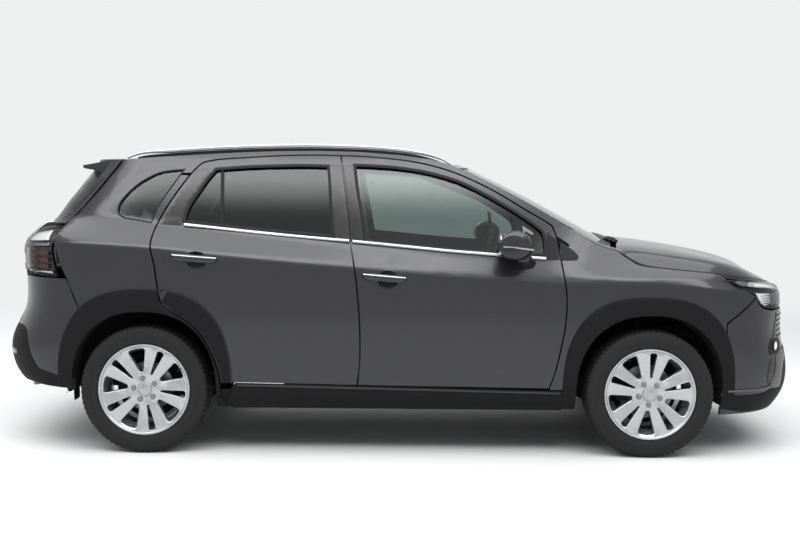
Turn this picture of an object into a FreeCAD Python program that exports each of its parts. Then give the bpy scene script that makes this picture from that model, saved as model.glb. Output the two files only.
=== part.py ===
import FreeCAD, Part
import math
import os

V = FreeCAD.Vector

# Driving sizes in millimetres: +X forward, +Y left, +Z up, ground at Z = 0
WHEELBASE = 2600.0
FRONT_OVERHANG = 867.0
REAR_OVERHANG = 833.0
BODY_WIDTH = 1785.0
ROOF_HEIGHT = 1572.0
TRACK_FRONT = 1535.0
TRACK_REAR = 1505.0
TYRE_RADIUS = 330.0
TYRE_WIDTH = 215.0
RIM_RADIUS = 233.0
SHUT_GAP = 8.0
SKIN = 12.0
FRAME_DEPTH = 38.0
DOOR_DEPTH = 110.0
GLASS = 5.0
BUMPER_WALL = 28.0
WHEEL_BOLT_CIRCLE = 114.3
STEER_RING_RADIUS = 185.0
FRONT_HOUSE = 389.0
HANDLE_CUP_RADIUS = 54.0
HANDLE_CUP_DEPTH = 20.0
NOSE_ROUND = 3.3
TAIL_ROUND = 3.4
HINGE_PIN = 4.5
HINGE_SINK = 22.0

LENGTH = FRONT_OVERHANG + WHEELBASE + REAR_OVERHANG
FRONT_AXLE = LENGTH / 2.0 - FRONT_OVERHANG
REAR_AXLE = REAR_OVERHANG - LENGTH / 2.0
WIDE = BODY_WIDTH / 1785.0
BELT = 1064.0

# Stations of the body were drawn on axles at +1283 and -1317; these follow the driving sizes
def sx(x):
    if x > 1283.0:
        return FRONT_AXLE + (x - 1283.0) * FRONT_OVERHANG / 867.0
    if x < -1317.0:
        return REAR_AXLE + (x + 1317.0) * REAR_OVERHANG / 833.0
    return REAR_AXLE + (x + 1317.0) * WHEELBASE / 2600.0


def sz(z):
    if z < BELT:
        return z
    return BELT + (z - BELT) * (ROOF_HEIGHT - BELT) / (1572.0 - BELT)


def line(points, t):
    if t <= points[0][0]:
        return points[0][1]
    for (a, va), (b, vb) in zip(points, points[1:]):
        if t <= b:
            return va + (vb - va) * (t - a) / (b - a)
    return points[-1][1]


# Run of the shoulder crease and of the window line along the side
CREASE = [(-1760, 1102), (-1250, 1073), (-870, 1031), (-260, 983), (250, 944), (810, 915),
          (1215, 926), (1420, 914), (1680, 888), (1900, 860)]
WAIST = [(-1790, 1218), (-1450, 1203), (-1258, 1178), (-780, 1136), (-264, 1087), (249, 1044),
         (708, 1011), (1100, 1005), (1900, 985)]
LOW = [(225, 780), (270, 826), (330, 852), (430, 864), (560, 874), (700, 880), (860, 881)]
HIGH = [(1000, 838), (1064, 812), (1200, 768), (1300, 735), (1400, 698), (1480, 664), (1548, 636), (1580, 600)]
WING = [(925, 868), (955, 842), (985, 806), (1030, 750), (1080, 700), (1200, 640), (1580, 500)]
NOSE = [(190, 2075), (260, 2118), (320, 2142), (400, 2150), (465, 2150), (530, 2132), (564, 2118), (640, 2106),
        (740, 2106), (800, 2104), (840, 2097), (870, 2068), (905, 2010), (940, 1935), (1000, 1880), (1100, 1840)]
TAIL = [(280, -2030), (320, -2070), (360, -2105), (410, -2135), (470, -2150), (560, -2150), (610, -2125),
        (660, -2098), (730, -2066), (800, -2056), (900, -2062), (1000, -2072), (1060, -2068), (1120, -2042),
        (1165, -1990), (1205, -1925), (1280, -1868), (1340, -1818), (1400, -1768), (1470, -1712), (1600, -1640)]


def half_width(x, z):
    # half the width of the body at a station and height, before the ends are rounded in plan
    crease = line(CREASE, x)
    waist = line(WAIST, x)
    if z <= crease:
        y = line(LOW + [(max(crease - 30.0, 870.0), 879), (max(crease, 880.0), 868)], z)
    elif z <= waist:
        top = line(HIGH, waist)
        y = 868.0 + (top - 868.0) * (z - crease) / (waist - crease)
    else:
        y = line(HIGH, z)
    if z > 925.0 and x > 800.0:
        k = min(1.0, (x - 800.0) / 400.0)
        y = (1.0 - k) * y + k * line(WING, z)
    return y


def rounded(x, z):
    # half width with both ends rounded in plan
    y = half_width(x, z)
    if x > 1150.0:
        t = min(0.97, (x - 1150.0) / (line(NOSE, z) - 1150.0))
        y = y * (1.0 - t ** NOSE_ROUND) ** (1.0 / NOSE_ROUND)
    if x < -1250.0:
        t = min(0.84, (-1250.0 - x) / (-1250.0 - line(TAIL, z)))
        y = y * (1.0 - t ** TAIL_ROUND) ** (1.0 / TAIL_ROUND)
    return y * WIDE


def surface(grid, du=3, dv=2):
    nu = len(grid)
    nv = len(grid[0])
    ku = nu - du + 1
    kv = nv - dv + 1
    mu = [du + 1] + [1] * (ku - 2) + [du + 1]
    mv = [dv + 1] + [1] * (kv - 2) + [dv + 1]
    s = Part.BSplineSurface()
    s.buildFromPolesMultsKnots(grid, mu, mv, list(range(ku)), list(range(kv)), False, False, du, dv)
    return s.toShape()


def side_face():
    stations = [-1850, -1780, -1700, -1600, -1480, -1340, -1180, -950, -700, -400, -100, 200, 500, 750,
                900, 1050, 1180, 1320, 1460, 1580, 1680, 1770, 1850]
    grid = []
    for x in stations:
        c = line(CREASE, x)
        w = line(WAIST, x)
        heights = [225, 262, 300, 350, 430, 540, 660, 760, c - 70, c - 22, c - 6, c + 8, c + 24,
                   (c + w) / 2 + 6, w, w + (1330 - w) * 0.35, w + (1330 - w) * 0.7, 1330, 1410, 1480, 1530,
                   1560, 1590]
        grid.append([V(sx(x), rounded(x, z), sz(z)) for z in heights])
    return surface(grid)


SIDE = side_face()


def layer(outer, inner):
    # left-hand slice of the body side between two depths under its outer surface
    face = SIDE.translated(V(0, -outer, 0))
    return face.extrude(V(0, outer - inner, 0))


def ring_offset(points, d):
    # moves a closed outline outward by d, or inward when d is negative
    n = len(points)
    area = 0.0
    for i in range(n):
        area += points[i - 1][0] * points[i][1] - points[i][0] * points[i - 1][1]
    s = d if area > 0 else -d
    out = []
    for i in range(n):
        p, q, r = points[i - 1], points[i], points[(i + 1) % n]
        a = math.hypot(q[0] - p[0], q[1] - p[1])
        b = math.hypot(r[0] - q[0], r[1] - q[1])
        ax, az = (q[1] - p[1]) / a, (p[0] - q[0]) / a
        bx, bz = (r[1] - q[1]) / b, (q[0] - r[0]) / b
        k = max(0.35, 1.0 + ax * bx + az * bz)
        out.append((q[0] + s * (ax + bx) / k, q[1] + s * (az + bz) / k))
    return out


def outline(points, y=0.0):
    # closed wire in a plane of constant Y: smooth runs between its sharp corners
    n = len(points)
    corners = []
    for i in range(n):
        p, q, r = points[i - 1], points[i], points[(i + 1) % n]
        turn = math.atan2(r[1] - q[1], r[0] - q[0]) - math.atan2(q[1] - p[1], q[0] - p[0])
        turn = abs((turn + math.pi) % (2.0 * math.pi) - math.pi)
        if turn > 0.5:
            corners.append(i)
    if len(corners) < 2:
        corners = [0, n // 2]
    edges = []
    for a, b in zip(corners, corners[1:] + [corners[0] + n]):
        run = [V(points[k % n][0], y, points[k % n][1]) for k in range(a, b + 1)]
        if len(run) == 2:
            edges.append(Part.makeLine(run[0], run[1]))
        else:
            curve = Part.BSplineCurve()
            curve.interpolate(run)
            edges.append(curve.toShape())
    return Part.Wire(edges)


def body(points):
    return [(sx(x), sz(z)) for x, z in points]


def prism(points, y0, y1):
    # solid with the given X-Z outline between two values of Y
    return Part.Face(outline(points, y0)).extrude(V(0, y1 - y0, 0))


def block(points, y0, y1):
    # as prism, with straight sides only
    ring = [V(x, y0, z) for x, z in points]
    return Part.Face(Part.makePolygon(ring + [ring[0]])).extrude(V(0, y1 - y0, 0))


def box(x0, x1, y0, y1, z0, z1):
    corner = V(min(x0, x1), min(y0, y1), min(z0, z1))
    return Part.makeBox(abs(x1 - x0), abs(y1 - y0), abs(z1 - z0), corner)


def mirror(shape):
    return shape.mirror(V(0, 0, 0), V(0, 1, 0))


def pair(shape):
    return Part.makeCompound([shape, mirror(shape)])


def rod(p, q, r):
    a = V(*p)
    d = V(*q) - a
    return Part.makeCylinder(r, d.Length, a, d)


def arch(axle, a, b, n, bottom):
    # outline of a wheel opening: a flattened arc round the wheel, closed below
    pts = [(axle - a, bottom)]
    for i in range(13):
        t = math.pi * (1.0 - i / 12.0)
        c, s = math.cos(t), math.sin(t)
        x = axle + a * math.copysign(abs(c) ** (2.0 / n), c)
        pts.append((x, TYRE_RADIUS + b * s ** (2.0 / n)))
    pts.append((axle + a, bottom))
    return pts


ARCH_FRONT = arch(FRONT_AXLE, TYRE_RADIUS + 50.0, TYRE_RADIUS + 77.0, 2.3, 150.0)
ARCH_REAR = arch(REAR_AXLE, TYRE_RADIUS + 42.0, TYRE_RADIUS + 75.0, 2.3, 150.0)
TRIM_FRONT = arch(FRONT_AXLE, TYRE_RADIUS + 117.0, TYRE_RADIUS + 170.0, 2.6, 150.0)
TRIM_REAR = arch(REAR_AXLE, TYRE_RADIUS + 122.0, TYRE_RADIUS + 190.0, 2.6, 150.0)

# Outlines of doors and windows on the side, seen from the side
B_LINE = [(-321, 1543), (-305, 1441), (-293, 1363), (-280, 1260), (-270, 1183), (-258, 1067), (-241, 983),
          (-224, 860), (-212, 720), (-207, 600), (-208, 490), (-222, 362)]
FRONT_EDGE = [(764, 352), (797, 454), (819, 558), (837, 662), (845, 764), (841, 866), (826, 967), (811, 1064),
              (798, 1135), (776, 1188), (758, 1201)]
DOOR_TOP_F = [(666, 1255), (563, 1317), (459, 1376), (355, 1426), (251, 1467), (146, 1497), (41, 1517), (-64, 1529),
              (-190, 1539)]
DOOR_TOP_R = [(-432, 1545), (-642, 1540), (-851, 1526), (-990, 1513)]
DOOR_BACK_R = [(-1040, 1502), (-1084, 1463), (-1132, 1400), (-1179, 1329), (-1226, 1249), (-1259, 1179),
               (-1276, 1108), (-1275, 1060), (-1260, 999), (-1244, 898), (-1222, 790)]
DOOR_ARCH_R = [(-1157, 731), (-1100, 697), (-1043, 652), (-990, 581), (-951, 496), (-931, 433), (-920, 372)]
FRONT_DOOR = body(FRONT_EDGE + DOOR_TOP_F + B_LINE)
REAR_DOOR = body(B_LINE[::-1] + DOOR_TOP_R + DOOR_BACK_R + DOOR_ARCH_R)
FRONT_WINDOW = body([(742, 1040), (737, 1135), (717, 1170), (614, 1243), (510, 1306), (407, 1362), (303, 1411),
                     (198, 1444), (94, 1467), (-40, 1485), (-168, 1493), (-250, 1495), (-232, 1364), (-208, 1235),
                     (-190, 1100), (249, 1060), (560, 1040)])
REAR_WINDOW = body([(-347, 1124), (-366, 1285), (-374, 1389), (-385, 1489), (-534, 1491), (-796, 1482),
                    (-974, 1468), (-1017, 1412), (-1050, 1359), (-1088, 1299), (-1110, 1255), (-1123, 1193),
                    (-780, 1158)])
QUARTER_WINDOW = body([(-1290, 1186), (-1380, 1201), (-1434, 1210), (-1462, 1225), (-1471, 1244), (-1468, 1274),
                       (-1455, 1301), (-1418, 1346), (-1369, 1390), (-1318, 1422), (-1267, 1446), (-1215, 1457),
                       (-1136, 1465), (-1176, 1404), (-1222, 1334), (-1262, 1262)])
SIDE_TOP = [(908, 1151), (824, 1203), (719, 1267), (615, 1326), (512, 1380), (408, 1430), (251, 1503),
            (146, 1528), (-12, 1549), (-221, 1564), (-432, 1568), (-642, 1565), (-851, 1556), (-1060, 1543),
            (-1253, 1530), (-1460, 1514)]
GATE_LINE = [(-1484, 1489), (-1532, 1426), (-1579, 1362), (-1628, 1302), (-1677, 1247), (-1726, 1195),
             (-1770, 1132), (-1786, 1085), (-1770, 1043), (-1742, 963), (-1714, 906)]


# Hinge lines: front door, rear door and tailgate
DOOR_HINGE_F = (sx(762), 881.0 * WIDE - HINGE_SINK)
DOOR_HINGE_R = (sx(-290), 881.0 * WIDE - HINGE_SINK)
GATE_HINGE = (sx(-1497), sz(1511))
DOOR_HINGE_HEIGHTS = (640.0, 850.0)
HANDLE_CUPS = {"front": (-67.0, 914.0), "rear": (-1040.0, 1007.0)}
GATE_HINGE_SIDES = (-400.0, 400.0)


def door_hinge(line_xy, inner_y, core_x):
    # fixed bracket with its pin, the eye on the door, and the pocket cut in the door round them
    x, y = line_xy
    fixed, moving, pocket = [], [], []
    for z in DOOR_HINGE_HEIGHTS:
        fixed.append(Part.makeCylinder(HINGE_PIN, 56, V(x, y, z - 28), V(0, 0, 1)))
        for a in (z - 27, z + 17):
            fixed.append(box(x - 9, x + 4, inner_y - 0.5, y - 3, a, a + 10))
        eye = Part.makeCylinder(HINGE_PIN + 4.0, 30, V(x, y, z - 15), V(0, 0, 1))
        eye = eye.fuse(box(core_x - 15, x - 3, y - 8, y + 1, z - 15, z + 15))
        moving.append(eye.cut(Part.makeCylinder(HINGE_PIN + 0.3, 40, V(x, y, z - 20), V(0, 0, 1))))
        pocket.append(box(core_x, x + 120, y - 200, y + 6.5, z - 34, z + 34))
    return fixed, moving, pocket


def doors():
    out = {}
    skin = layer(0.0, SKIN)
    frame = layer(0.0, FRAME_DEPTH)
    depth = layer(0.0, DOOR_DEPTH)
    pane = layer(16.0, 16.0 + GLASS)
    core_f = body([(724, 392), (732, 800), (716, 985), (-110, 1045), (-125, 800), (-100, 398)])
    core_r = body([(-345, 398), (-340, 800), (-375, 1065), (-1150, 1140), (-1175, 860), (-1105, 800),
                   (-1000, 745), (-905, 640), (-860, 520), (-850, 400)])
    for name, ring, core, window, axis, core_x in (("front", FRONT_DOOR, core_f, FRONT_WINDOW, DOOR_HINGE_F, sx(736)),
                                                   ("rear", REAR_DOOR, core_r, REAR_WINDOW, DOOR_HINGE_R, sx(-336))):
        edge = ring_offset(ring, -SHUT_GAP / 2.0)
        shell = skin.common(prism(edge, 300.0, 1000.0))
        band = frame.common(prism(ring_offset(ring, -20.0), 300.0, 1000.0))
        thick = depth.common(block(core, 300.0, 1000.0))
        hole = prism(window, 300.0, 1000.0)
        fixed, moving, pocket = door_hinge(axis, 700.0, core_x)
        swell = (HANDLE_CUP_RADIUS ** 2 + HANDLE_CUP_DEPTH ** 2) / (2.0 * HANDLE_CUP_DEPTH)
        x, z = HANDLE_CUPS[name]
        cup = Part.makeSphere(swell, V(sx(x), rounded(x, z) - HANDLE_CUP_DEPTH + swell, z))
        inner = band.fuse(thick).cut(pocket[0].fuse(pocket[1:]))
        out[name + "_panel"] = shell.fuse([inner] + moving).cut([hole, cup])
        out[name + "_glass"] = pane.common(hole)
    flare = layer(-11.0, 4.0)
    zone = prism(ring_offset(REAR_DOOR, -SHUT_GAP / 2.0), 300.0, 1000.0)
    trim = flare.common(prism(TRIM_REAR, 300.0, 1000.0)).common(zone)
    out["rear_panel"] = out["rear_panel"].fuse(trim)
    return out


def plan(points, z0, z1):
    # solid with the given X-Y outline between two heights
    ring = [V(x, y, z0) for x, y in points]
    return Part.Face(Part.makePolygon(ring + [ring[0]])).extrude(V(0, 0, z1 - z0))


def roof_height(x, y):
    side = line([(-1480, 1508), (-1250, 1528), (-1000, 1543), (-700, 1556), (-400, 1560), (-100, 1554),
                 (100, 1536), (251, 1500), (400, 1438)], x)
    return side + 22.0 * (1.0 - (abs(y) / 600.0) ** 2.2)


def roof_face():
    rows = []
    for x in [-1475, -1350, -1200, -1000, -750, -500, -250, -50, 100, 200, 290, 360]:
        rows.append([V(sx(x), y * WIDE, sz(roof_height(x, y))) for y in
                     (-640, -600, -450, -300, -150, 0, 150, 300, 450, 600, 640)])
    return surface(rows)


ROOF_PLAN = [(-1465, -603), (-1465, 603), (190, 603), (232, 590), (285, 420), (315, 220), (325, 0),
             (315, -220), (285, -420), (232, -590), (190, -603)]


def roof_zone():
    # the roof panel's room: from its underside upwards
    room = roof_face().translated(V(0, 0, -24)).extrude(V(0, 0, 300))
    return room.common(plan([(sx(a), b * WIDE) for a, b in ROOF_PLAN], 1200, 2000))


def screen():
    # windscreen, bowed forward in the middle
    rows = []
    for x, z in [(1072, 1075), (1035, 1092), (908, 1156), (719, 1268), (512, 1381), (330, 1468), (262, 1500)]:
        row = []
        for i in range(-6, 7):
            u = i / 6.0
            y = (rounded(x, z) - 66.0) * u
            bow = 125.0 - (z - 1075.0) * 0.12
            lift = 12.0 * min(1.0, (z - 1075.0) / 80.0)
            row.append(V(sx(x + bow * (1.0 - u * u)), y, sz(z + lift * (1.0 - u * u))))
        rows.append(row)
    return surface(rows).extrude(V(-4, 0, -5))


def bonnet_face():
    # bonnet, wrapped down over the wings at each side
    centre = [(1120, 1110), (1220, 1108), (1330, 1098), (1470, 1081), (1630, 1057), (1790, 1024), (1880, 996),
              (1940, 966), (1975, 930), (1988, 906), (2012, 882)]
    rows = []
    for x in [1100, 1140, 1200, 1260, 1340, 1440, 1560, 1680, 1800, 1880, 1940, 1975, 1992, 2012]:
        low = line([(1096, 1076), (1132, 1062), (1158, 1040), (1184, 1020), (1232, 993), (1284, 985), (1439, 971),
                    (1646, 951), (1750, 938), (1854, 923), (1930, 906), (1992, 896), (2012, 880)], x)
        crease = line([(1096, 1080), (1143, 1071), (1248, 1061), (1353, 1049), (1458, 1036), (1563, 1022),
                       (1668, 1006), (1774, 982), (1850, 950), (1930, 916), (1992, 900), (2012, 882)], x)
        mid = line(centre, x)
        edge = rounded(x, low)
        fall = min(1.0, max(0.0, (x - 1480.0) / 380.0))
        row = []
        for y, z in [(0.0, mid), (0.3, mid - 4 - 9 * fall), (0.55, mid - 14 - 26 * fall),
                     (0.76, (mid + crease) / 2 - 3 - 14 * fall),
                     (0.87, crease + 4), (0.925, crease - 6), (0.97, (low + crease) / 2), (1.0, low)]:
            row.append(V(sx(x), edge * y, z))
        left = row[:0:-1]
        rows.append(left + [V(p.x, -p.y, p.z) for p in row])
    return surface(rows)


BONNET_PLAN = [(1106, 780), (1150, 560), (1196, 380), (1218, 180), (1224, 0), (1218, -180),
               (1196, -380), (1150, -560), (1106, -780), (1290, -860), (1700, -860), (1880, -720),
               (1960, -520), (1985, -300), (1990, 0), (1985, 300), (1960, 520), (1880, 720),
               (1700, 860), (1290, 860)]


def bonnet_zone(gap):
    # the bonnet's room: a gap below its underside and everything above
    room = bonnet_face().translated(V(0, 0, -22 - gap)).extrude(V(0, 0, 250))
    ring = ring_offset([(sx(a), b * WIDE) for a, b in BONNET_PLAN], gap)
    return room.common(plan(ring, 600, 1500))


def side_structure():
    out = {}
    # sill under the doors, with the seams of the cabin floor on its inner side
    sill = layer(14.0, 160.0)
    out["sills"] = sill.common(block(body([(905, 232), (905, 335), (-925, 335), (-925, 232)]), 690 * WIDE, 1000))
    # roof side rail running down into the windscreen pillar, stepped to take the door frames
    top = body(SIDE_TOP)
    low = body([(-1300, 1440), (-1000, 1450), (-400, 1478), (100, 1450), (340, 1362), (600, 1262), (850, 1105),
                (900, 1060)])
    opening_f = ring_offset(FRONT_DOOR, SHUT_GAP / 2.0)
    opening_r = ring_offset(REAR_DOOR, SHUT_GAP / 2.0)
    rebate = layer(-30.0, FRAME_DEPTH + 8.0)
    rail = layer(0.0, 84.0).common(block(top + low, 300, 1000))
    rail = rail.cut(rebate.common(prism(opening_f, 300, 1000)))
    rail = rail.cut(rebate.common(prism(opening_r, 300, 1000)))
    rail = rail.cut([roof_zone(), screen()])
    out["roof_side_rails"] = rail.cut(prism(QUARTER_WINDOW, 300, 1000))
    # hinge pillars and middle pillars, set in behind the door edges
    deep = layer(108.0, 155.0)
    hinge = deep.common(block(body([(895, 335), (895, 1040), (748, 1040), (748, 335)]), 300, 1000))
    middle = deep.common(block(body([(-148, 335), (-150, 1010), (-318, 1010), (-318, 335)]), 300, 1000))
    upper = layer(50.0, 140.0).common(block(body([(-150, 1000), (-240, 1500), (-350, 1500), (-318, 1000)]), 300, 1000))
    brackets_f = door_hinge(DOOR_HINGE_F, 766.0 * WIDE, 0.0)[0]
    brackets_r = door_hinge(DOOR_HINGE_R, 766.0 * WIDE, 0.0)[0]
    middle = middle.fuse([upper] + brackets_r).cut(rail)
    out["door_pillars"] = Part.makeCompound([hinge.fuse(brackets_f), middle])
    # quarter panel with its window, from the rear door to the tailgate and the rear bumper
    ring = body([(-1300, 1440)] + [(-1460, 1514)] + GATE_LINE + [(-1640, 741), (-1640, 560), (-1060, 560),
                                                                 (-1060, 1430)])
    quarter = layer(0.0, 30.0).common(block(ring, 300, 1000))
    quarter = quarter.cut(prism(opening_r, 300, 1000))
    quarter = quarter.cut(prism(ARCH_REAR, 300, 1000))
    out["rear_quarters"] = quarter.cut(prism(QUARTER_WINDOW, 300, 1000)).cut(rail)
    out["quarter_glass"] = layer(10.0, 10.0 + GLASS).common(prism(QUARTER_WINDOW, 300, 1000))
    # front wing between the door, the bonnet, the headlamp and the bumper
    rear = [(x, z) for x, z in opening_f if z < sz(1075) and x > sx(700)]
    rear.sort(key=lambda p: p[1])
    wing = rear + body([(874, 1089), (908, 1149), (982, 1108), (1035, 1084), (1084, 1068), (1122, 1058),
                        (1150, 1034), (1180, 1015), (1206, 997), (1232, 987), (1284, 979), (1336, 975),
                        (1439, 965), (1543, 956), (1640, 945), (1690, 911), (1731, 877), (1795, 856),
                        (1838, 830), (1803, 797), (1741, 747), (1672, 698), (1672, 345)])
    wings = layer(0.0, 14.0).common(block(wing, 300, 1000)).cut(prism(ARCH_FRONT, 300, 1000))
    wings = wings.cut(bonnet_zone(SHUT_GAP))
    out["front_wings"] = wings
    out["roof_side_rails"] = out["roof_side_rails"].cut(wings)
    # black trims round the arches and along the sill
    flare = layer(-11.0, -0.5)
    front = flare.common(prism(TRIM_FRONT, 300, 1000)).cut(prism(ARCH_FRONT, 300, 1000))
    out["front_arch_trims"] = front.common(box(sx(820), sx(1740), 300, 1000, 240, 1000))
    rear_trim = flare.common(prism(TRIM_REAR, 300, 1000)).cut(prism(ARCH_REAR, 300, 1000))
    rear_trim = rear_trim.cut(prism(opening_r, 300, 1000))
    out["rear_arch_trims"] = rear_trim.common(box(sx(-1740), sx(-840), 300, 1000, 240, 1000))
    strip = layer(-11.0, 14.0).common(block(body([(905, 232), (860, 338), (-850, 352), (-925, 352), (-925, 232)]),
                                            300, 1000))
    strip = strip.cut(prism(TRIM_FRONT, 300, 1000)).cut(prism(TRIM_REAR, 300, 1000))
    out["sill_trims"] = strip
    return {k: pair(v) for k, v in out.items()}


def waterline(x0, xe, b, n, count, z, stop=1.0):
    # rounded end of the body in plan, from the left round the end to the right
    pts = []
    for i in range(-count, count + 1):
        t = stop * (math.pi / 2.0) * i / count
        y = b * math.copysign(abs(math.sin(t)) ** (2.0 / n), -t)
        x = x0 + (xe - x0) * abs(math.cos(t)) ** (2.0 / n)
        pts.append(V(sx(x), y * WIDE, sz(z)))
    return pts


def end_solid(x0, profile, levels, n, inset):
    # closed volume of the nose or the tail, less an inset all round
    sections = []
    for z in levels:
        b = half_width(x0, z) - inset
        xe = line(profile, z)
        xe = xe - math.copysign(inset, xe)
        pts = waterline(x0, xe, b, n, 12, z)
        curve = Part.BSplineCurve()
        curve.interpolate(pts)
        back = Part.makeLine(pts[-1], pts[0])
        sections.append(Part.Wire([curve.toShape(), back]))
    return Part.makeLoft(sections, True, False)


def end_wall(x0, profile, levels, n, outer, inner):
    # wall of the nose or the tail between two depths under its surface
    return end_solid(x0, profile, levels, n, outer).cut(end_solid(x0, profile, levels, n, inner))


def front_end():
    out = {}
    levels = [205, 260, 330, 430, 530, 640, 740, 800, 840, 880, 920]
    shell = end_wall(1150.0, NOSE, levels, NOSE_ROUND, 0.0, BUMPER_WALL)
    shell = shell.common(box(sx(1560), sx(2300), -1000, 1000, 190, 930))
    wheel = prism(ARCH_FRONT, 300, 1000)
    lamp_ring = body([(1650, 941), (1690, 907), (1731, 873), (1769, 863), (1806, 853), (1839, 829), (1861, 797),
                      (1888, 771), (1947, 757), (2140, 760), (2140, 862), (2010, 895), (1930, 902), (1847, 919)])
    seam = body([(1560, 190), (2300, 190), (2300, 752), (1950, 750), (1888, 764), (1858, 788), (1838, 822),
                 (1808, 792), (1746, 742), (1678, 692), (1678, 600), (1560, 600)])
    bumper = shell.common(block(seam, -1000, 1000)).cut(wheel).cut(mirror(wheel))
    bumper = bumper.cut(box(sx(1560), sx(1676), -1000, 1000, 100, 1000))
    intake = box(sx(1900), sx(2300), -470, 470, 345, 510)
    out["front_bumper"] = bumper.cut(intake)
    mesh = end_wall(1150.0, NOSE, levels, NOSE_ROUND, 14.0, 24.0)
    out["lower_grille"] = mesh.common(box(sx(1900), sx(2300), -469.7, 469.7, 345.3, 509.7))
    face = end_wall(1150.0, NOSE, levels, NOSE_ROUND, 0.0, 60.0)
    lamp = face.common(block(lamp_ring, 452, 1000))
    zone = bonnet_zone(SHUT_GAP)
    out["headlamps"] = pair(lamp.cut(zone))
    grille = face.common(box(sx(1900), sx(2300), -451.7, 451.7, 752.3, 896)).cut(zone)
    slots = [box(sx(1900), sx(2300), -425, 425, z, z + 24) for z in (784, 822, 860)]
    front = end_wall(1150.0, NOSE, levels, NOSE_ROUND, -5.0, 26.0)
    out["grille"] = grille.cut(front.common(slots[0].fuse(slots[1:])))
    return out


def rear_end():
    out = {}
    low = [292, 325, 365, 420, 480, 540, 600, 680, 760, 840, 900, 960]
    shell = end_wall(-1250.0, TAIL, low, TAIL_ROUND, 0.0, BUMPER_WALL)
    shell = shell.common(box(sx(-2300), sx(-1560), -1000, 1000, 200, 1000))
    wheel = prism(ARCH_REAR, 300, 1000)
    seam = body([(-2300, 200), (-2300, 898), (-1718, 898), (-1697, 862), (-1676, 806), (-1650, 755),
                 (-1646, 741), (-1646, 200)])
    bumper = shell.common(block(seam, -1000, 1000)).cut(wheel).cut(mirror(wheel))
    bumper = bumper.cut(block(body([(-1560, 200), (-1560, 322), (-1850, 334), (-1960, 344), (-2010, 356),
                                    (-2060, 200)]), -1000, 1000))
    gate_zone = box(sx(-2300), sx(-1800), -575, 575, 630, 1000)
    out["rear_bumper"] = bumper.cut(gate_zone)
    levels = [630, 700, 760, 840, 920, 1000, 1060, 1110, 1150, 1180]
    high = [1172, 1205, 1280, 1340, 1400, 1470, 1515]
    skin = end_wall(-1250.0, TAIL, levels, TAIL_ROUND, 0.0, 42.0)
    lamp_ring = body([(-2300, 906), (-2300, 1100), (-2020, 1142), (-1940, 1160), (-1870, 1168), (-1745.5, 1168),
                      (-1770.3, 1132), (-1786.3, 1085), (-1770.3, 1043), (-1742.3, 963), (-1714.3, 906)])
    lamp = skin.common(block(lamp_ring, 576, 1000))
    out["tail_lamps"] = pair(lamp)
    gate_line = [(x - 9, z - 3) for x, z in GATE_LINE[:6]]
    ring = body([(-1481, 1506)] + gate_line + [(-1752, 1179), (-2300, 1179), (-2300, 1550), (-1481, 1550)])
    upper = end_wall(-1250.0, TAIL, high, TAIL_ROUND, 0.0, 42.0).common(block(ring, -1000, 1000))
    lower = skin.common(box(sx(-2300), sx(-1800), -567, 567, 638, 1179.5))
    spoiler = block(body([(-1482, 1517), (-1580, 1503), (-1690, 1482), (-1686, 1467), (-1600, 1452), (-1520, 1462)]),
                    -600, 600)
    gate = upper.fuse([lower, spoiler])
    x, z = GATE_HINGE
    eyes = []
    for y in GATE_HINGE_SIDES:
        gate = gate.cut(box(x - 14, x + 60, y - 20, y + 20, z - 60, z + 60))
        for a in (y - 21, y + 8):
            eye = rod((x, a, z), (x, a + 13, z), HINGE_PIN + 4.0).fuse(box(x - 20, x, a, a + 13, z - 8, z + 4))
            eyes.append(eye.cut(rod((x, a - 5, z), (x, a + 20, z), HINGE_PIN + 0.3)))
    gate = gate.fuse(eyes)
    window = block([(sx(-2100), sz(1190)), (sx(-1500), sz(1190)), (sx(-1500), sz(1452)), (sx(-2100), sz(1452))],
                   -560, 560)
    wedge = Part.makePolygon([V(sx(-2100), -590, sz(1188)), V(sx(-2100), 590, sz(1188)), V(sx(-2100), 520, sz(1452)),
                              V(sx(-2100), -520, sz(1452)), V(sx(-2100), -590, sz(1188))])
    hole = Part.Face(wedge).extrude(V(600, 0, 0)).common(window.fuse(box(sx(-2100), sx(-1500), -600, 600,
                                                                         sz(1188), sz(1452))))
    out["tailgate_panel"] = gate.cut(hole)
    pane = end_wall(-1250.0, TAIL, high, TAIL_ROUND, 14.0, 14.0 + GLASS)
    out["tailgate_glass"] = pane.common(hole)
    return out


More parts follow.
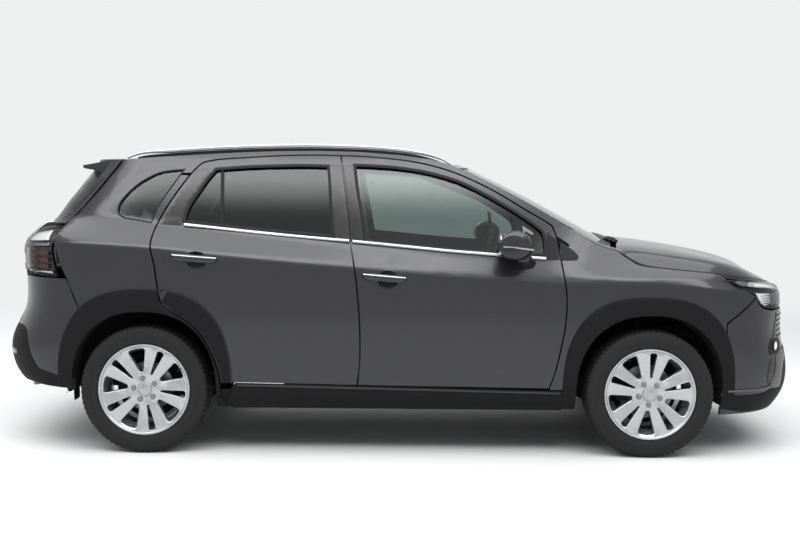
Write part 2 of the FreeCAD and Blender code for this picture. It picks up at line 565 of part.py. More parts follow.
def top_panels():
    out = {}
    room = plan([(sx(p), q * WIDE) for p, q in ROOF_PLAN], 1200, 2000)
    roof = roof_face().extrude(V(0, 0, -24)).common(room)
    mounts = []
    for y in GATE_HINGE_SIDES:
        mounts.append(rod((GATE_HINGE[0], y - 17, GATE_HINGE[1]), (GATE_HINGE[0], y + 17, GATE_HINGE[1]), HINGE_PIN))
        mounts.append(box(GATE_HINGE[0] - 5, sx(-1430), y - 4, y + 4, GATE_HINGE[1] - 9, GATE_HINGE[1] + 5))
    out["roof_panel"] = roof.fuse(mounts)
    out["windscreen"] = screen()
    room = plan([(sx(p), q * WIDE) for p, q in BONNET_PLAN], 600, 1500)
    out["bonnet"] = bonnet_face().extrude(V(0, 0, -22)).common(room)
    # panel under the wipers between bonnet and windscreen
    out["scuttle"] = plan([(FRONT_AXLE - 390, -640), (sx(1070), -640), (sx(1120), -520), (sx(1172), -300), (sx(1200), 0),
                           (sx(1172), 300), (sx(1120), 520), (sx(1070), 640), (FRONT_AXLE - 390, 640)], 985, 1069.7)
    bar = block(body([(-1451, 1530), (-1424, 1545), (-1334, 1568), (-1069, 1588), (-805, 1599), (-541, 1604),
                      (-329, 1603), (-118, 1594), (20, 1581), (147, 1557), (238, 1522), (262, 1506), (150, 1536),
                      (-12, 1558), (-328, 1574), (-540, 1577), (-804, 1573), (-1068, 1562), (-1253, 1548),
                      (-1400, 1532)]), 578 * WIDE, 612 * WIDE)
    feet = []
    for a, b in ((-1440, -1330), (-610, -530), (110, 240)):
        z = roof_height((a + b) / 2.0, 595)
        feet.append(box(sx(a), sx(b), 580 * WIDE, 600 * WIDE, sz(z) - 12, sz(z) + 16))
    out["roof_rails"] = pair(bar.fuse(feet))
    return out


def revolve(profile, y_sign, x, y, z):
    # ring turned about the wheel axis; profile gives radius and outward distance
    ring = [V(x, y + y_sign * a, z + r) for r, a in profile]
    face = Part.Face(Part.makePolygon(ring + [ring[0]]))
    return face.revolve(V(x, y, z), V(0, 1, 0), 360)


def spun(shape, angle, x, z):
    out = shape.copy()
    out.rotate(V(x, 0, z), V(0, 1, 0), angle)
    return out


def wheel(x, y, phase, disc_radius):
    out = {}
    s = math.copysign(1.0, y)
    w = TYRE_WIDTH / 2.0
    r = TYRE_RADIUS
    z = TYRE_RADIUS
    bead = RIM_RADIUS - 14.0
    half = [(bead + 0.2, 70), (bead + 0.2, 84.5), (RIM_RADIUS + 1, 86), (RIM_RADIUS + 8, 0.93 * w), (r - 62, w),
            (r - 25, 0.96 * w), (r - 4, 0.8 * w), (r, 0.5 * w)]
    inside = [(r - 22, 0.8 * w - 10), (bead + 30, 0.86 * w - 12)]
    ring = half + [(p, -q) for p, q in half[::-1]]
    ring = ring + [(p, -q) for p, q in inside[::-1]] + inside
    out["tyre"] = revolve(ring, s, x, y, z)
    rim = revolve([(RIM_RADIUS, 95), (RIM_RADIUS, 88), (bead, 85), (bead, 60), (bead - 22, 40), (bead - 22, -40),
                   (bead, -60), (bead, -85), (RIM_RADIUS, -88), (RIM_RADIUS, -95), (bead - 8, -92), (bead - 8, -60),
                   (bead - 30, -42), (bead - 30, 42), (bead - 12, 62), (bead - 12, 95)], s, x, y, z)
    face = revolve([(0, 51), (0, 80), (70, 78), (150, 84), (bead - 10, 88), (bead - 10, 58), (150, 60), (80, 51)],
                   s, x, y, z)
    wide = block([(x + a, z + b) for a, b in [(-8, 90), (8, 90), (41, 206), (-41, 206)]], y - 200, y + 200)
    slim = block([(x + a, z + b) for a, b in [(-5, 84), (5, 84), (17, 206), (-17, 206)]], y - 200, y + 200)
    cuts = []
    for k in range(5):
        cuts.append(spun(wide, phase + 72.0 * k, x, z))
        cuts.append(spun(slim, phase + 36.0 + 72.0 * k, x, z))
    out["rim"] = rim.fuse(face.cut(cuts[0].fuse(cuts[1:])))
    out["disc"] = revolve([(28, 51), (78, 51), (78, -10), (disc_radius, -10), (disc_radius, -32), (66, -32), (66, 36),
                           (28, 36)], s, x, y, z)
    return out


def kingpin(y):
    # lower ball joint and strut top: the line that a front wheel is steered about
    return V(FRONT_AXLE + 8, y - 78, TYRE_RADIUS - 98), V(FRONT_AXLE - 30, y - 206, TYRE_RADIUS + 482)


def knuckle():
    # front upright with its strut on the line that it is steered about, left side
    x, z = FRONT_AXLE, TYRE_RADIUS
    y = TRACK_FRONT / 2.0
    foot = kingpin(y)[0]
    along = kingpin(y)[1] - foot
    strut = rod(foot + along * 0.16, foot + along * 0.80, 24)
    spring = rod(foot + along * 0.80, foot + along * 0.9995, 62)
    upright = block([(x - 45, 262), (x + 45, 262), (x + 52, 340), (x + 40, 420), (x - 40, 420), (x - 52, 340)],
                    y - 105, y - 50)
    hub = rod((x, y - 60, z), (x, y + 50.7, z), 27.7)
    ear = box(x - 130, x - 30, y - 76, y - 50, z - 30, z + 60)
    claw = box(x - 162, x - 98, y - 76, y + 16, z - 45, z + 75)
    groove = box(x - 145, x, y - 38, y - 4, z - 200, z + 200)
    caliper = claw.cut(groove)
    ball = Part.makeSphere(16, foot)
    pin = rod(foot, foot + V(0, 0, 40), 10)
    return upright.fuse([strut, spring, hub, ear, caliper, ball, pin])


def chassis():
    out = {}
    f, r = FRONT_AXLE, REAR_AXLE
    yf = TRACK_FRONT / 2.0
    yr = TRACK_REAR / 2.0
    half = 690.0 * WIDE
    floor = block([(f - 408, 232), (f - 408, 258), (sx(-575), 258), (sx(-600), 400), (sx(-985), 400),
                   (sx(-1000), 520), (sx(-2030), 520), (sx(-2030), 600), (sx(-2050), 600), (sx(-2050), 496),
                   (sx(-1024), 496), (sx(-1010), 376), (sx(-620), 376), (sx(-598), 232)], -half, half)
    trench = box(f - 500, sx(-640), -95, 95, 200, 355)
    tunnel = box(f - 408, sx(-596), -115, 115, 232, 375).cut(box(f - 300, sx(-660), -95, 95, 200, 355))
    bay = box(r - 420, r + 400, yr - 198, 1200, 100, 1500)
    floor = floor.cut(trench).fuse(tunnel).cut(bay).cut(mirror(bay))
    floor = floor.common(plan([(f, half), (r - 380, half), (sx(-1880), 0.86 * half), (sx(-2050), 0.68 * half),
                               (sx(-2050), -0.68 * half), (sx(-1880), -0.86 * half), (r - 380, -half), (f, -half)],
                              0, 1500))
    liner = Part.makeCylinder(TYRE_RADIUS + 92, 800 * WIDE - (yr - 198), V(r, yr - 198, TYRE_RADIUS + 20), V(0, 1, 0))
    liner = liner.cut(Part.makeCylinder(TYRE_RADIUS + 78, 600, V(r, yr - 190, TYRE_RADIUS + 20), V(0, 1, 0)))
    liner = liner.common(box(r - 600, r + 600, 0, 1200, 300, 1200))
    lip = layer(0.0, 36.0)
    liner = liner.cut(lip).common(box(r - 600, r + 600, 0, 790 * WIDE, 0, 1200))
    out["floor_pan"] = floor
    out["rear_wheelhouses"] = pair(liner.cut(floor))
    wall = box(f - 408, f - 390, -half, half, 258.3, 985)
    out["bulkhead"] = wall.cut(box(f - 500, f, -95, 95, 200, 375))
    foot_point, top = kingpin(yf)
    tower = Part.makeCylinder(85, 26, top, top - foot_point)
    shelf = box(f - 389.7, f + 330, yf - 310, yf - 125, 836, 856)
    panel = box(f - 180, f + 120, yf - 330, yf - 312, 440, 856)
    member = box(f - 389.7, f + 560, yf - 387, yf - 312, 440, 500)
    post = box(f - 110, f - 55, yf - 387, yf - 362, 262.3, 440)
    out["front_frame"] = pair(tower.fuse([shelf, panel, member, post]))
    beam = box(f - 110, f + 60, -405, 405, 205, 262)
    lower = Part.Face(Part.makePolygon([V(f - 95, 398, 222), V(f + 45, 398, 222), V(f + 30, yf - 78, 196),
                                        V(f - 14, yf - 78, 196), V(f - 95, 398, 222)])).extrude(V(0, 0, 15))
    shaft = rod((f, 320, TYRE_RADIUS), (f, yf - 130, TYRE_RADIUS), 14)
    foot = box(f - 40, f + 40, 325, yf - 387.3, 445, 495)
    house = Part.makeCylinder(FRONT_HOUSE, 360, V(f, yf - 311.8, TYRE_RADIUS + 24), V(0, 1, 0))
    house = house.cut(Part.makeCylinder(FRONT_HOUSE - 4, 400, V(f, yf - 320, TYRE_RADIUS + 24), V(0, 1, 0)))
    house = house.common(box(f - 500, f + 500, 0, 796 * WIDE, 262.5, 1000)).cut(layer(-100.0, 40.0))
    out["front_wheelhouses"] = pair(house.cut([rod(foot_point, top, 84), post]))
    out["front_suspension"] = beam.fuse([lower, mirror(lower)])
    out["engine"] = box(f - 250, f + 250, -330, 330, 285, 880).fuse([shaft, mirror(shaft), foot, mirror(foot)])
    torsion = box(r + 130, r + 220, -520, 520, 290, 352)
    trailing = block([(r + 340, 300), (r + 340, 350), (r + 30, 370), (r - 40, 370), (r - 40, 290), (r + 30, 290)],
                     yr - 220, yr - 165)
    stub = rod((r, yr - 190, TYRE_RADIUS), (r, yr + 50.7, TYRE_RADIUS), 27.7)
    claw = box(r - 152, r - 90, yr - 76, yr + 12, TYRE_RADIUS - 35, TYRE_RADIUS + 65)
    claw = claw.cut(box(r - 135, r, yr - 38, yr - 4, 0, 900))
    ear = box(r - 110, r - 20, yr - 165, yr - 56, TYRE_RADIUS - 20, TYRE_RADIUS + 30)
    damper = rod((r + 110, yr - 260, 330), (r + 110, yr - 260, 495.7), 48)
    left = trailing.fuse([stub, claw, ear, damper])
    out["rear_axle"] = torsion.fuse([left, mirror(left)])
    path = [V(f - 330, 0, 300), V(r + 360, 0, 303), V(r + 240, 0, 402), V(r - 60, -120, 425), V(r - 230, -220, 360),
            V(r - 350, -260, 350)]
    rings = []
    for i, point in enumerate(path):
        ahead = path[min(i + 1, len(path) - 1)] - path[max(i - 1, 0)]
        rings.append(Part.Wire(Part.makeCircle(26, point, ahead)))
    pipe = Part.makeLoft(rings, True, True)
    silencer = box(r - 560, r - 330, -470, -120, 275, 420)
    tip = rod((r - 540, -420, 320), (r - 700, -430, 300), 24)
    out["exhaust"] = pipe.fuse([silencer, tip])
    out["fuel_tank"] = box(sx(-950), sx(-625), 120, 600, 215, 375.7)
    return out


def interior():
    out = {}
    half = 680.0 * WIDE
    dash = block(body([(900, 640), (900, 985), (760, 1010), (650, 1000), (600, 950), (600, 880),
                       (660, 700), (740, 640)]), -half, half)
    out["dashboard"] = dash.common(box(sx(400), FRONT_AXLE - 408.3, -1000, 1000, 0, 1500))
    hub = V(sx(490), 365, 955)
    tilt = V(-math.cos(0.42), 0, math.sin(0.42))
    ring = Part.makeTorus(STEER_RING_RADIUS, 15, hub, tilt)
    boss = Part.makeCylinder(62, 40, hub - tilt * 38, tilt)
    spokes = []
    across = V(0, 1, 0)
    for k in (-1, 1):
        spokes.append(rod(tuple(hub - tilt * 12 + across * 40 * k), tuple(hub + across * (STEER_RING_RADIUS * k)), 11))
    down = tilt.cross(across)
    if down.z > 0:
        down = down * -1.0
    spokes.append(rod(tuple(hub - tilt * 12), tuple(hub + down * STEER_RING_RADIUS), 11))
    out["steering_wheel"] = ring.fuse([boss] + spokes)
    out["dashboard"] = out["dashboard"].fuse(Part.makeCylinder(24, 170, hub - tilt * 208.3, tilt))
    seat = block(body([(420, 330), (420, 440), (340, 500), (-40, 480), (-230, 1130), (-320, 1120), (-170, 440),
                       (-160, 330)]), 115, 610)
    head = block(body([(-215, 1150), (-200, 1300), (-290, 1310), (-320, 1150)]), 240, 490)
    post = box(sx(-275), sx(-255), 350, 380, 1090, 1180)
    base = box(sx(-120), sx(380), 170, 555, 258.3, 335)
    out["front_seats"] = pair(seat.fuse([head, post, base]))
    bench = block(body([(-560, 258), (-545, 540), (-620, 580), (-960, 540), (-1090, 1090), (-1180, 1090),
                        (-1075, 560), (-1060, 520.3), (-999, 520.3), (-984, 400.3), (-601, 400.3)]), -550, 550)
    bench = bench.common(box(sx(-1300), sx(-400), -600, 600, 400.3, 1400))
    rests = []
    for y in (-440, -90, 260):
        rests.append(block(body([(-1080, 1085), (-1080, 1210), (-1165, 1220), (-1175, 1085)]), y, y + 180))
    out["rear_seat"] = bench.fuse(rests)
    return out


def mirrors():
    head = block(body([(500, 1100), (520, 1142), (560, 1160), (605, 1160), (640, 1135), (658, 1090), (640, 1045),
                       (600, 1022), (541, 1022), (506, 1045)]), 862, 1010)
    foot = block(body([(600, 1040), (600, 985), (640, 962), (700, 950), (700, 1000), (650, 1045)]), 800, 900)
    arm = head.fuse(foot)
    return arm


def save(shapes):
    os.makedirs("parts", exist_ok=True)
    for name, shape in shapes.items():
        shape = shape.removeSplitter() if shape.ShapeType != "Compound" else shape
        shape.exportStep("parts/" + name + ".step")
        print(name, shape.ShapeType, len(shape.Solids), shape.isValid(), round(shape.Volume / 1e6, 2))


def main():
    shapes = {}
    shapes.update(side_structure())
    shapes.update(front_end())
    shapes.update(rear_end())
    shapes.update(top_panels())
    shapes.update(chassis())
    shapes.update(interior())
    for name, shape in doors().items():
        shapes["door_" + name + "_left"] = shape
        shapes["door_" + name + "_right"] = mirror(shape)
    trims = shapes["front_arch_trims"].cut(shapes["front_bumper"])
    shapes["front_arch_trims"] = trims.cut(shapes["front_wings"])
    shapes["rear_arch_trims"] = shapes["rear_arch_trims"].cut(shapes["rear_bumper"]).cut(shapes["rear_quarters"])
    shapes["headlamps"] = shapes["headlamps"].cut(shapes["front_wings"])
    shapes["rear_quarters"] = shapes["rear_quarters"].cut(shapes["roof_panel"])
    shapes["roof_rails"] = shapes["roof_rails"].cut(shapes["roof_panel"]).cut(shapes["roof_side_rails"])
    shapes["dashboard"] = shapes["dashboard"].cut(shapes["door_pillars"])
    houses = shapes["front_wheelhouses"].cut(shapes["sills"]).cut(shapes["door_pillars"])
    shapes["front_wheelhouses"] = houses.cut(shapes["front_bumper"])
    tank = box(sx(-951), sx(-624), 119, 601, 214, 377)
    arm = box(REAR_AXLE - 60, REAR_AXLE + 360, TRACK_REAR / 2.0 - 240, TRACK_REAR / 2.0 - 145, 285, 376)
    houses = shapes["rear_wheelhouses"].cut(shapes["sills"]).cut([tank, mirror(tank), arm, mirror(arm)])
    shapes["rear_wheelhouses"] = houses.cut(shapes["rear_bumper"]).cut(shapes["rear_arch_trims"])
    shapes["bulkhead"] = shapes["bulkhead"].cut(shapes["door_pillars"]).cut(shapes["sills"])
    head = mirrors().cut(shapes["door_front_panel_left"]).cut(layer(0.0, 60.0))
    shapes["mirror_left"] = head
    shapes["mirror_right"] = mirror(head)
    up = knuckle()
    shapes["knuckle_left"] = up
    shapes["knuckle_right"] = mirror(up)
    for side, s in (("left", 1.0), ("right", -1.0)):
        for end, x, track, phase, disc in (("front", FRONT_AXLE, TRACK_FRONT, 40.0, 140.0),
                                           ("rear", REAR_AXLE, TRACK_REAR, 60.0, 130.0)):
            for name, shape in wheel(x, s * track / 2.0, phase, disc).items():
                shapes["wheel_" + end + "_" + side + "_" + name] = shape
    save(shapes)


main()
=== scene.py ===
import math

import bmesh
import bpy
import numpy as np
from mathutils import Matrix, Vector
from mathutils.bvhtree import BVHTree
from mathutils.geometry import delaunay_2d_cdt

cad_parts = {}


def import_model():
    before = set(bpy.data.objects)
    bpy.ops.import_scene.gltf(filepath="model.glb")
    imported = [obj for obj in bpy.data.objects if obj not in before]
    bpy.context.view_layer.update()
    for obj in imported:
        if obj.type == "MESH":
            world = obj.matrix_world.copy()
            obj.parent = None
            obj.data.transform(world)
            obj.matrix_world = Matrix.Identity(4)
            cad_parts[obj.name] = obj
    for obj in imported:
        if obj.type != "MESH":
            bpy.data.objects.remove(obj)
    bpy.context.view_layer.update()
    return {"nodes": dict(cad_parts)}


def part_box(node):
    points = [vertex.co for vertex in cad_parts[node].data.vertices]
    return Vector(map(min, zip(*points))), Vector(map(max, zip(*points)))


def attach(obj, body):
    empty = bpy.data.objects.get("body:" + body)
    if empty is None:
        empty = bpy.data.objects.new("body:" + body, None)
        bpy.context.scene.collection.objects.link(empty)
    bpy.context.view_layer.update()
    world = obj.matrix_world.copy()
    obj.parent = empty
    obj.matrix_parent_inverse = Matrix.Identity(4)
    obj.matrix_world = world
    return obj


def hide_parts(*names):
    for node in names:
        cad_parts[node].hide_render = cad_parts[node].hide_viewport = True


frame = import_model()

NODES = frame["nodes"]


# Materials

def add(tree, kind, **settings):
    # shader node with the given values on its sockets
    node = tree.nodes.new("ShaderNode" + kind)
    for name, value in settings.items():
        node.inputs[name.replace("_", " ")].default_value = value
    return node


def link(tree, *pairs):
    # each pair is (output socket, input socket)
    for output, socket in pairs:
        tree.links.new(output, socket)


def material(name, color, roughness, metallic=0.0, coat=0.0, specular=0.5):
    mat = bpy.data.materials.new(name)
    mat.use_nodes = True
    shader = mat.node_tree.nodes["Principled BSDF"]
    for socket, value in (("Base Color", (*color, 1.0)), ("Metallic", metallic), ("Roughness", roughness),
                          ("Coat Weight", coat), ("Coat Roughness", 0.05), ("Specular IOR Level", specular)):
        shader.inputs[socket].default_value = value
    return mat


def noise(mat, scale, detail=2.0):
    # noise in the object's own metres
    tree = mat.node_tree
    texture = add(tree, "TexNoise", Scale=scale, Detail=detail)
    link(tree, (add(tree, "TexCoord").outputs["Object"], texture.inputs["Vector"]))
    return texture


def vary(mat, source, low, high, a, b, socket="Base Color"):
    # a ramp between two colours or two grey values, led by a texture
    tree = mat.node_tree
    ramp = add(tree, "ValToRGB")
    for stop, place, value in zip(ramp.color_ramp.elements, (low, high), (a, b)):
        stop.position = place
        stop.color = (*value, 1.0) if isinstance(value, tuple) else (value, value, value, 1.0)
    link(tree, (source, ramp.inputs["Fac"]), (ramp.outputs["Color"], tree.nodes["Principled BSDF"].inputs[socket]))


def bump(mat, source, strength, distance):
    tree = mat.node_tree
    node = add(tree, "Bump", Strength=strength, Distance=distance)
    link(tree, (source, node.inputs["Height"]),
         (node.outputs["Normal"], tree.nodes["Principled BSDF"].inputs["Normal"]))


def car_paint():
    mat = material("grey_metallic_paint", (0.032, 0.0322, 0.035), metallic=0.8, roughness=0.33, coat=0.5)
    flake = noise(mat, 900.0, 2.0)
    vary(mat, flake.outputs["Fac"], 0.35, 0.7, (0.017, 0.0172, 0.019), (0.048, 0.0484, 0.0525))
    return mat


def grained(name, color, light, roughness, scale=900.0, specular=0.4):
    # moulded plastic with a fine grain
    mat = material(name, color, roughness=roughness, specular=specular)
    grain = noise(mat, scale, 3.0)
    vary(mat, grain.outputs["Fac"], 0.3, 0.7, color, light)
    bump(mat, grain.outputs["Fac"], 0.25, 0.0002)
    return mat


def woven(name, color, light):
    # fabric with two crossing threads, a soft sheen and slow changes of tone
    mat = material(name, color, roughness=0.85, specular=0.25)
    shader = mat.node_tree.nodes["Principled BSDF"]
    shader.inputs["Sheen Weight"].default_value = 0.35
    shader.inputs["Sheen Roughness"].default_value = 0.5
    tree = mat.node_tree
    cloud = noise(mat, 60.0, 4.0)
    vary(mat, cloud.outputs["Fac"], 0.3, 0.7, color, light)
    place = add(tree, "TexCoord")
    threads = add(tree, "Math")
    threads.operation = "ADD"
    for k, axis in enumerate("YZ"):
        wave = add(tree, "TexWave", Scale=220.0)
        wave.bands_direction = axis
        link(tree, (place.outputs["Object"], wave.inputs["Vector"]), (wave.outputs["Fac"], threads.inputs[k]))
    bump(mat, threads.outputs[0], 0.15, 0.0004)
    return mat


def smooth(name, color, metallic, roughness, coat=0.0, spread=0.25):
    # bare or polished surface whose shine varies a little
    mat = material(name, color, metallic=metallic, roughness=roughness, coat=coat)
    cloud = noise(mat, 14.0, 4.0)
    vary(mat, cloud.outputs["Fac"], 0.3, 0.7, roughness * (1.0 - spread), roughness * (1.0 + spread), "Roughness")
    tone = tuple(min(1.0, c * 1.06) for c in color)
    vary(mat, cloud.outputs["Fac"], 0.35, 0.65, color, tone)
    return mat


def glass(name, tint, clear, ior=1.5):
    # a pane that lets light straight through, tinted, with a sharp reflection
    mat = bpy.data.materials.new(name)
    mat.use_nodes = True
    tree = mat.node_tree
    tree.nodes.remove(tree.nodes["Principled BSDF"])
    through = add(tree, "BsdfTransparent")
    ramp = add(tree, "ValToRGB")
    ramp.color_ramp.elements[0].color = (*(c * clear for c in tint), 1.0)
    ramp.color_ramp.elements[1].color = (*(min(1.0, c * clear * 1.08) for c in tint), 1.0)
    shine = add(tree, "BsdfGlossy", Roughness=0.02, Color=(0.95, 0.97, 0.96, 1.0))
    fresnel = add(tree, "Fresnel", IOR=ior)
    mix = add(tree, "MixShader")
    link(tree, (noise(mat, 3.0).outputs["Fac"], ramp.inputs["Fac"]), (ramp.outputs["Color"], through.inputs["Color"]),
         (fresnel.outputs["Fac"], mix.inputs["Fac"]), (through.outputs["BSDF"], mix.inputs[1]),
         (shine.outputs["BSDF"], mix.inputs[2]),
         (mix.outputs["Shader"], tree.nodes["Material Output"].inputs["Surface"]))
    return mat


WHEELS = ["wheel_%s_%s" % (a, b) for a in ("front", "rear") for b in ("left", "right")]
PAINT = car_paint()
CLADDING = grained("dark_moulded_plastic", (0.008, 0.008, 0.0085), (0.013, 0.013, 0.014), 0.6, specular=0.08)
BLACK = grained("black_moulded_plastic", (0.008, 0.008, 0.009), (0.014, 0.014, 0.015), 0.45, specular=0.14)
CABIN = grained("cabin_trim", (0.02, 0.02, 0.021), (0.032, 0.032, 0.033), 0.6, 500.0)
FABRIC = woven("seat_fabric", (0.022, 0.023, 0.026), (0.045, 0.046, 0.05))
BOLSTER = woven("seat_bolster_fabric", (0.012, 0.012, 0.013), (0.022, 0.022, 0.024))
RUBBER = grained("tyre_rubber", (0.009, 0.009, 0.0092), (0.016, 0.016, 0.0163), 0.66, 700.0, specular=0.22)
ALLOY = smooth("silver_alloy", (0.43, 0.435, 0.445), 0.85, 0.3, 0.35)
CHROME = smooth("chrome", (0.75, 0.76, 0.77), 1.0, 0.08)
SATIN = smooth("satin_silver", (0.38, 0.383, 0.39), 0.9, 0.3)
STEEL = smooth("bare_steel", (0.22, 0.22, 0.225), 0.9, 0.42)
UNDERBODY = grained("underbody_coating", (0.009, 0.009, 0.009), (0.017, 0.017, 0.017), 0.8, 300.0, specular=0.15)
CLEAR_GLASS = glass("clear_glass", (0.70, 0.77, 0.75), 0.8)
DARK_GLASS = glass("privacy_glass", (0.16, 0.17, 0.18), 1.0)
SCREEN_GLASS = glass("screen_glass", (0.78, 0.88, 0.84), 0.85)
LENS = glass("lamp_lens", (0.95, 0.95, 0.95), 1.0, 1.2)
TAIL_LENS = glass("tail_lamp_lens", (0.85, 0.84, 0.84), 1.0, 1.2)
GLOSS_BLACK = smooth("gloss_black_plastic", (0.005, 0.005, 0.006), 0.0, 0.2, 0.1)
DARK_SATIN = smooth("dark_satin_grey", (0.09, 0.09, 0.092), 0.6, 0.36)
LAMP_GREY = smooth("lamp_grey", (0.11, 0.11, 0.115), 0.3, 0.3)
INDICATOR = smooth("white_indicator_lens", (0.34, 0.34, 0.33), 0.0, 0.18, 0.5)
LAMP_WHITE = smooth("lamp_white", (0.8, 0.8, 0.8), 0.3, 0.12, 0.5)
LAMP_DARK_RED = smooth("lamp_dark_red", (0.07, 0.004, 0.005), 0.0, 0.2, 0.3)
PLATE = smooth("blank_plate", (0.6, 0.6, 0.58), 0.0, 0.45)
MIRROR = smooth("mirror_glass", (0.7, 0.72, 0.73), 1.0, 0.02, 0.0, 0.3)

NODE_MATERIALS = {
    PAINT: ["rear_quarters", "front_wings", "roof_side_rails", "front_bumper", "rear_bumper", "roof_panel", "bonnet",
            "tailgate_panel", "door_front_panel_left", "door_front_panel_right", "door_rear_panel_left",
            "door_rear_panel_right", "mirror_left", "mirror_right", "door_pillars"],
    CLADDING: ["front_arch_trims", "rear_arch_trims", "sill_trims"],
    BLACK: ["grille", "lower_grille", "scuttle"],
    CABIN: ["dashboard", "bulkhead", "steering_wheel"],
    FABRIC: ["front_seats", "rear_seat"],
    RUBBER: [wheel + "_tyre" for wheel in WHEELS],
    ALLOY: [wheel + "_rim" for wheel in WHEELS],
    STEEL: [wheel + "_disc" for wheel in WHEELS] + ["exhaust"],
    SATIN: ["roof_rails"],
    UNDERBODY: ["floor_pan", "rear_wheelhouses", "front_wheelhouses", "front_frame", "front_suspension", "rear_axle",
                "fuel_tank", "sills", "engine", "knuckle_left", "knuckle_right"],
    CLEAR_GLASS: ["door_front_glass_left", "door_front_glass_right"],
    DARK_GLASS: ["door_rear_glass_left", "door_rear_glass_right", "quarter_glass", "tailgate_glass"],
    SCREEN_GLASS: ["windscreen"],
    LENS: ["headlamps", "tail_lamps"],
}


for node_material, node_names in NODE_MATERIALS.items():
    for node_name in node_names:
        NODES[node_name].data.materials.clear()
        NODES[node_name].data.materials.append(node_material)


# Mesh helpers: hand is 1 on the left side of the body and -1 on the right

HANDS = ((1.0, "left"), (-1.0, "right"))


def metres(x, y, z):
    # point given in millimetres
    return x / 1000.0, y / 1000.0, z / 1000.0


def turns(count):
    # even angles round a circle
    return np.linspace(0, 2 * math.pi, count, endpoint=False)


def squared(v, power):
    # sine or cosine drawn towards a rounded square
    return math.copysign(abs(v) ** power, v)


def piece(name, verts, faces, mat, body, smooth_angle=35.0, replaces=""):
    mesh = bpy.data.meshes.new(name)
    mesh.from_pydata([tuple(v) for v in verts], [], faces)
    mesh.validate()
    work = bmesh.new()
    work.from_mesh(mesh)
    bmesh.ops.recalc_face_normals(work, faces=work.faces)
    limit = math.radians(smooth_angle)
    for edge in work.edges:
        edge.smooth = len(edge.link_faces) == 2 and edge.calc_face_angle(math.pi) < limit
    for face in work.faces:
        face.smooth = True
    work.to_mesh(mesh)
    work.free()
    obj = bpy.data.objects.new(name, mesh)
    bpy.context.scene.collection.objects.link(obj)
    mesh.materials.append(mat)
    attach(obj, body)
    if replaces:
        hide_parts(replaces)
    return obj


def rings_to_mesh(rings, closed=True, around=False):
    # skin over a row of rings that have equal numbers of points
    n = len(rings[0])
    verts = [p for ring in rings for p in ring]
    faces = []
    last = len(rings) if around else len(rings) - 1
    for i in range(last):
        a, b = i * n, ((i + 1) % len(rings)) * n
        for j in range(n if closed else n - 1):
            k = (j + 1) % n
            faces.append((a + j, a + k, b + k, b + j))
    if closed and not around:
        faces.append(tuple(range(n)))
        faces.append(tuple(range((len(rings) - 1) * n, len(rings) * n)))
    return verts, faces


def join(parts):
    # several (verts, faces) in one
    verts, faces = [], []
    for v, f in parts:
        base = len(verts)
        verts.extend(v)
        faces.extend(tuple(base + i for i in face) for face in f)
    return verts, faces


def rounded_box(lo, hi, r):
    # box with rounded upright edges and rounded rims
    steps = 3
    rings = []
    x0, y0, z0 = lo
    x1, y1, z1 = hi
    r = min(r, 0.49 * (x1 - x0), 0.49 * (y1 - y0), 0.49 * (z1 - z0))
    levels = [(z0 + r * (1 - math.cos(t)), r * (1 - math.sin(t))) for t in np.linspace(0, math.pi / 2, steps + 1)]
    levels += [(z1 - (z - z0), inset) for z, inset in levels[::-1]]
    for z, inset in levels:
        ring = []
        for cx, cy, start in ((x1 - r, y1 - r, 0), (x0 + r, y1 - r, 90), (x0 + r, y0 + r, 180), (x1 - r, y0 + r, 270)):
            for t in np.linspace(0, 90, steps + 1):
                a = math.radians(start + t)
                ring.append((cx + (r - inset) * math.cos(a), cy + (r - inset) * math.sin(a), z))
        rings.append(ring)
    return rings_to_mesh(rings)


def tube(path, radius, sides, flat=1.0):
    # round bar along a row of points; flat squeezes it across its first normal
    pts = [Vector(p) for p in path]
    rings = []
    side = None
    n = len(pts)
    for i, p in enumerate(pts):
        before = pts[i - 1] if i > 0 else p
        after = pts[i + 1] if i < n - 1 else p
        along = (after - before).normalized()
        if side is None:
            side = along.cross(Vector((0.0, 0.0, 1.0)))
            if side.length < 0.1:
                side = along.cross(Vector((0.0, 1.0, 0.0)))
        side = (side - along * side.dot(along)).normalized()
        up = along.cross(side)
        r = radius[i] if hasattr(radius, "__len__") else radius
        rings.append([p + side * (r * flat * math.cos(t)) + up * (r * math.sin(t)) for t in turns(sides)])
    return rings_to_mesh(rings)


def smooth_run(points, count):
    # evenly spread points on a smooth curve through the given ones
    p = np.array(points, float)
    n = len(p)
    s = np.concatenate([[0], np.cumsum(np.linalg.norm(np.diff(p, axis=0), axis=1))])
    out = []
    for t in np.linspace(0, s[-1], count):
        i = min(max(int(np.searchsorted(s, t, side="right")) - 1, 0), n - 2)
        a, b = p[i], p[i + 1]
        h = s[i + 1] - s[i]
        ma = (p[i + 1] - p[i - 1]) / (s[i + 1] - s[i - 1]) if i > 0 else (b - a) / h
        mb = (p[i + 2] - p[i]) / (s[i + 2] - s[i]) if i < n - 2 else (b - a) / h
        u = (t - s[i]) / h
        out.append((2 * u ** 3 - 3 * u ** 2 + 1) * a + (u ** 3 - 2 * u ** 2 + u) * h * ma
                   + (3 * u ** 2 - 2 * u ** 3) * b + (u ** 3 - u ** 2) * h * mb)
    return out


# Wheels: points are (outward distance, radius, angle) about each wheel's centre

RIM_R = 0.233
GROOVE = 0.007
TREAD_PITCH = 72
SHOULDER_NOTCH = 0.0045
TREAD_CUT = 0.003
TREAD_SLANT = 0.012
# angle of the first narrow opening in the wheels, in degrees
SLOT_FRONT = 86.0
SLOT_REAR = -6.5


def wheel_place(end, side):
    lo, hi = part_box("wheel_%s_%s_tyre" % (end, side))
    centre = (lo + hi) / 2.0
    out = 1.0 if side == "left" else -1.0
    return centre, out


